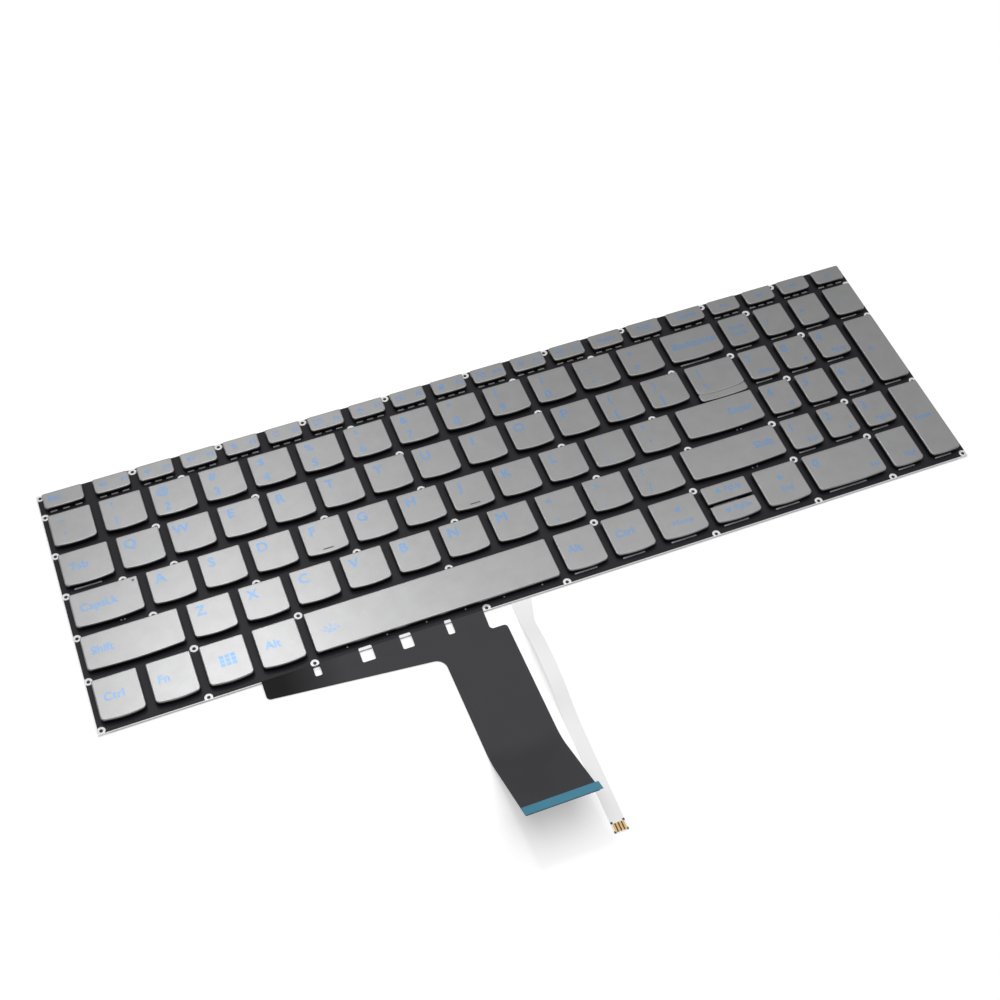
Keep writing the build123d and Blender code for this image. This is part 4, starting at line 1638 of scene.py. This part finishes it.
@dataclass
class Ribbon:
    """The circuit ribbon: a wide flange with windows, a narrow run, and an end that rises off the table."""

    plate_left: float
    plate_front: float
    film_inset: float = 0.30
    film_level: float = 1.125
    thickness: float = 0.25
    lead: float = 0.40
    rest: float = 0.305
    drop_run: float = 4.0
    flat: float = 42.5
    bend_radius: float = 18.0
    bend_angle: float = 31.0
    ramp: float = 30.0
    flange_left: float = 57.3
    flange_right: float = 139.0
    flange_depth: float = 7.2
    flange_slope: float = 0.1
    flange_corner: float = 1.5
    shoulder_depth: float = 7.8
    shoulder_corner: float = 1.4
    right: float = 145.2
    width: float = 25.7
    skew: float = 1.9
    inner_corner: float = 4.0
    end_corner: float = 0.6
    stiffener_length: float = 4.4
    stiffener_thickness: float = 0.198
    stiffener_ear: float = 1.0
    window_corner: float = 0.5

    # Place from the plate's left edge, width, reach behind the film's edge, and depth
    windows: tuple[tuple[float, float, float, float], ...] = (
        (76.8, 2.5, -1.2, 3.3), (95.0, 4.8, 0.9, 5.9), (109.7, 4.2, 0.9, 5.9), (125.7, 2.5, 0.9, 5.9),
    )

    @property
    def film_front(self) -> float:
        """Where the ribbon leaves the black film."""
        return self.plate_front + self.film_inset

    def window_outlines(self) -> list[np.ndarray]:
        """Returns the windows, which start in the film or a little in front of it, with rounded corners."""
        return [
            rounded(width, depth, self.window_corner)
            + np.array([self.plate_left + place, self.film_front + reach - depth / 2.0])
            for place, width, reach, depth in self.windows
        ]

    def path(self) -> StripPath:
        """Returns the side view: level with the film, down to the table, along it, and up at the end."""
        turn, arc = step_arcs(self.drop_run, self.film_level - self.rest)
        bend = self.bend_radius * np.radians(self.bend_angle)
        lead = self.film_front - self.plate_front + self.lead
        moves = [
            (lead, 0.0), (arc, -turn), (arc, turn),
            (self.flat, 0.0), (bend, self.bend_angle), (self.ramp, 0.0),
        ]
        return StripPath.follow(self.film_front, self.film_level, moves)

    def outline(self, end: float) -> np.ndarray:
        """Returns the ribbon's edge seen from above, with its corners rounded."""
        x, back = self.plate_left, self.film_front
        flange_front, shoulder_front = back - self.flange_depth, back - self.shoulder_depth
        run_left = self.right - self.width
        inner_front = flange_front - self.flange_slope * (run_left - self.flange_left)
        end_right = x + self.right + self.skew
        corners = [
            ((x + self.flange_left, back), 0.0),
            ((x + self.flange_left, flange_front), self.flange_corner),
            ((x + run_left, inner_front), self.inner_corner),
            ((end_right - self.width, end), self.end_corner),
            ((end_right, end), self.end_corner),
            ((x + self.right, shoulder_front), self.shoulder_corner),
            ((x + self.flange_right, shoulder_front), self.shoulder_corner),
            ((x + self.flange_right, back), 0.0),
        ]
        count = len(corners)
        parts = []
        for i, (corner, radius) in enumerate(corners):
            before, after = corners[i - 1][0], corners[(i + 1) % count][0]
            parts.append(fillet(before, corner, after, radius) if radius else np.array([corner]))
        return np.vstack(parts)

    def stiffener_strip(self, path: StripPath) -> Surface:
        """Returns the strip on the raised end: a flat plate along the ramp, with an ear on the right."""
        turn = np.radians(self.bend_angle)
        back, up = np.array([np.cos(turn), -np.sin(turn)]), np.array([np.sin(turn), np.cos(turn)])
        right = self.plate_left + self.right + self.skew
        plan = rectangle(right - self.width, 0.0, right + self.stiffener_ear, self.stiffener_length)
        side = np.array([path.y[0], path.z[0]]) + plan[:, 1:] * back + up * self.thickness / 2.0
        rises = (0.0, self.stiffener_thickness)
        rings = [np.column_stack([plan[:, 0], side + up * rise]) for rise in rises]
        return loft(np.stack(rings))

    def build(self, clearances: list[np.ndarray]) -> None:
        """Makes the ribbon, cut clear of the stakes, and the stiffener on its end."""
        path = self.path()
        outline = self.outline(path.y[0])
        near = [ring for ring in clearances if ring[:, 1].min() < self.film_front]
        flat = pierced_sheet(outline, self.window_outlines() + near, path.y[1:-1])
        piece = path.lay(flat, self.thickness).piece("circuit_ribbon", RIBBON_BLACK)
        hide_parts("ribbon_tail")
        strip = self.stiffener_strip(path).piece("end_stiffener", STIFFENER_BLUE)
        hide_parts("ribbon_stiffener")


@dataclass
class BacklightTail:
    """The white strip that feeds the backlight, with its hump, its contact pads and the marks at its end."""

    plate_left: float
    plate_front: float
    place: float = 149.6
    width: float = 5.1
    root_width: float = 7.9
    root: float = 8.0
    lead: float = 0.9
    level: float = 0.21
    rest: float = 0.08
    hump: float = 4.3
    quarter: float = 14.0
    flat: float = 37.58
    flare: float = 10.0
    thickness: float = 0.12
    mark: float = 0.8
    mark_corner: float = 0.1
    mark_sunk: float = 0.01
    mark_height: float = 0.02
    mark_places: tuple[float, float] = (0.5, 3.9)
    bed_sunk: float = 0.005
    bed_share: float = 0.4

    @property
    def left(self) -> float:
        """The strip's left edge."""
        return self.plate_left + self.place

    def path(self) -> StripPath:
        """Returns the side view: out of the light guide, over the hump, and along the table."""
        rise_turn, rise_arc = step_arcs(self.quarter, self.hump)
        fall_turn, fall_arc = step_arcs(self.quarter, self.hump + self.level - self.rest)
        moves = [
            (self.root + self.lead, 0.0), (rise_arc, rise_turn), (rise_arc, -rise_turn),
            (fall_arc, -fall_turn), (fall_arc, fall_turn), (self.flat, 0.0),
        ]
        return StripPath.follow(self.plate_front + self.root, self.level, moves)

    def outline(self, start: float, end: float) -> np.ndarray:
        """Returns the strip's edge seen from above, which is wider at its root."""
        right, root_right = self.left + self.width, self.left + self.root_width
        return np.array([
            (self.left, start), (self.left, end), (right, end), (right, self.plate_front - self.flare),
            (root_right, self.plate_front), (root_right, start),
        ])

    def end_marks(self, end: float) -> Surface:
        """Returns the four dark squares along the edges of the strip's end."""
        top = self.rest + self.thickness / 2.0
        plan = rounded(self.mark, self.mark, self.mark_corner)
        square = prism(plan, top - self.mark_sunk, top + self.mark_height)
        return Surface.join(
            square.moved(self.left + across, end + along, 0.0)
            for across in (self.mark / 2, self.width - self.mark / 2)
            for along in self.mark_places
        )

    def pad_bed(self) -> Surface:
        """Returns the dark ground between the gold pads, lower than the pads."""
        low, high = node_box("backlight_contacts")
        top = low[2] + (high[2] - low[2]) * self.bed_share
        return prism(rectangle(low[0], low[1], high[0], high[1]), low[2] - self.bed_sunk, top)

    def build(self) -> None:
        """Makes the strip, its end marks and the pads' ground, and finishes the pads and the lamps."""
        path = self.path()
        flat = pierced_sheet(self.outline(path.y[-1], path.y[0]), [], path.y[1:-1])
        piece = path.lay(flat, self.thickness).piece("backlight_strip", TAIL_WHITE)
        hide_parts("backlight_tail")
        self.end_marks(path.y[0]).piece("backlight_end_marks", TAIL_MASK)
        self.pad_bed().piece("backlight_pad_bed", PAD_BROWN)
        dress_node("backlight_contacts", CONTACT_GOLD)
        dress_node("backlight_lamps", LAMP_YELLOW)


# Stage, light and camera


@dataclass(frozen=True)
class SoftBox:
    """A square light: where it hangs, what it points at, its side in metres and its power in watts."""

    name: str
    place: Triple
    target: Triple
    side: float
    power: float

    def hang(self) -> None:
        """Makes the light and turns it to its target."""
        lamp = bpy.data.lights.new(self.name, "AREA")
        lamp.shape = "SQUARE"
        lamp.size = self.side
        lamp.energy = self.power
        holder = bpy.data.objects.new(self.name, lamp)
        holder.location = self.place
        holder.rotation_euler = (Vector(self.target) - Vector(self.place)).to_track_quat("-Z", "Y").to_euler()
        bpy.context.scene.collection.objects.link(holder)


@dataclass
class Studio:
    """A white table, a broad soft light overhead with small ones behind it, plain surroundings, a camera."""

    floor_reach: float = 4.0
    floor_drop: float = 0.00003
    floor_white: Colour = (0.78, 0.78, 0.78)
    floor_roughness: float = 0.9
    floor_specular: float = 0.1
    floor_glow: float = 0.40
    world_level: float = 0.16
    lights: tuple[SoftBox, ...] = (
        SoftBox("overhead", (0.0, 0.0, 1.0), (0.0, 0.001, 0.0), 1.0, 7.4),
        SoftBox("sheen", (-0.09, 0.50, 1.0), (-0.10, -0.03, 0.0), 0.15, 1.60),
        SoftBox("side", (0.60, 0.42, 1.0), (0.10, -0.03, 0.0), 0.30, 0.24),
        SoftBox("back", (0.10, 0.95, 1.0), (0.0, 0.0, 0.0), 0.30, 0.34),
    )
    camera_place: Triple = (-0.13191, -0.33535, 0.48824)
    camera_way: Triple = (0.20948693, 0.54340602, -0.81291151)
    camera_up: Triple = (0.28777113, 0.7602771, 0.58238004)
    lens: float = 57.68
    nearest: float = 0.01

    def seen_directly(self, bench: Bench) -> Signal:
        """Returns 1 for rays from the camera and for rays that a shiny or clear surface passes on."""
        path = bench.node("ShaderNodeLightPath").outputs
        kinds = ("Is Camera Ray", "Is Glossy Ray", "Is Transmission Ray")
        camera, glossy, clear = (Signal(bench.tree, path[kind]) for kind in kinds)
        return camera.maths("ADD", camera + glossy, clear, clamp=True)

    def floor(self) -> None:
        """Makes the white table top: a pale matt colour that glows a little where it is seen directly."""
        reach = self.floor_reach
        mesh = bpy.data.meshes.new("table_top")
        corners = at_height(rectangle(-reach, -reach, reach, reach), -self.floor_drop)
        mesh.from_pydata(corners.tolist(), [], [(0, 1, 2, 3)])
        bench = Bench("table_white")
        bench.dress(
            Base_Color=self.floor_white,
            Roughness=self.floor_roughness,
            Specular_IOR_Level=self.floor_specular,
        )
        glow = bench.node("ShaderNodeEmission", inputs={"Color": WHITE, "Strength": self.floor_glow})
        none = bench.node("ShaderNodeEmission", inputs={"Color": BLACK, "Strength": 0.0})
        shares = {0: self.seen_directly(bench), 1: none.outputs[0], 2: glow.outputs[0]}
        shown = bench.node("ShaderNodeMixShader", inputs=shares)
        total = bench.node("ShaderNodeAddShader", inputs={0: bench.shader.outputs[0], 1: shown.outputs[0]})
        plug(bench.tree, bench.output.inputs["Surface"], total.outputs[0])
        mesh.materials.append(bench.material)
        table = bpy.data.objects.new("table_top", mesh)
        bpy.context.scene.collection.objects.link(table)

    def light(self) -> None:
        """Hangs the lights and makes the plain surroundings."""
        for box in self.lights:
            box.hang()
        world = bpy.data.worlds.new("surroundings")
        world.use_nodes = True
        wiring = Wiring(world.node_tree)
        plain = wiring.node("ShaderNodeBackground", inputs={"Color": WHITE, "Strength": self.world_level})
        white = wiring.node("ShaderNodeBackground", inputs={"Color": WHITE, "Strength": 1.0})
        camera = wiring.node("ShaderNodeLightPath").outputs["Is Camera Ray"]
        shares = {0: camera, 1: plain.outputs[0], 2: white.outputs[0]}
        choice = wiring.node("ShaderNodeMixShader", inputs=shares)
        wiring.node("ShaderNodeOutputWorld", inputs={"Surface": choice.outputs[0]})
        bpy.context.scene.world = world

    def camera(self) -> None:
        """Sets the camera where the photograph was taken from."""
        data = bpy.data.cameras.new("camera")
        data.lens = self.lens
        data.clip_start = self.nearest
        way, up = Vector(self.camera_way), Vector(self.camera_up)
        turn = Matrix((way.cross(up), up, -way)).transposed().to_4x4()
        holder = bpy.data.objects.new("camera", data)
        holder.matrix_world = Matrix.Translation(self.camera_place) @ turn
        bpy.context.scene.collection.objects.link(holder)
        bpy.context.scene.camera = holder

    def build(self) -> None:
        """Sets the stage."""
        bpy.context.scene.view_settings.view_transform = "Standard"
        self.floor()
        self.light()
        self.camera()


def write_sizes() -> None:
    """Brings the placements of the scene up to date."""
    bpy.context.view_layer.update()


def main() -> None:
    """Builds the keyboard's pieces in order, then the stage."""
    logging.basicConfig(level=logging.INFO, format="%(message)s")
    left, front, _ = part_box("base_plate")[0] / MM
    keys = KeyField()
    ribbon = Ribbon(left, front)
    stack = PlateStack(stakes=keys.stakes(left, front))
    CapMaker().build(keys)
    PrintMaker().build(keys)
    stack.build(ribbon.window_outlines())
    CarrierMaker().build(keys)
    HolderTabs().build(keys)
    ribbon.build(stack.clearances())
    BacklightTail(left, front).build()
    Studio().build()
    write_sizes()


if __name__ == "__main__":
    main()
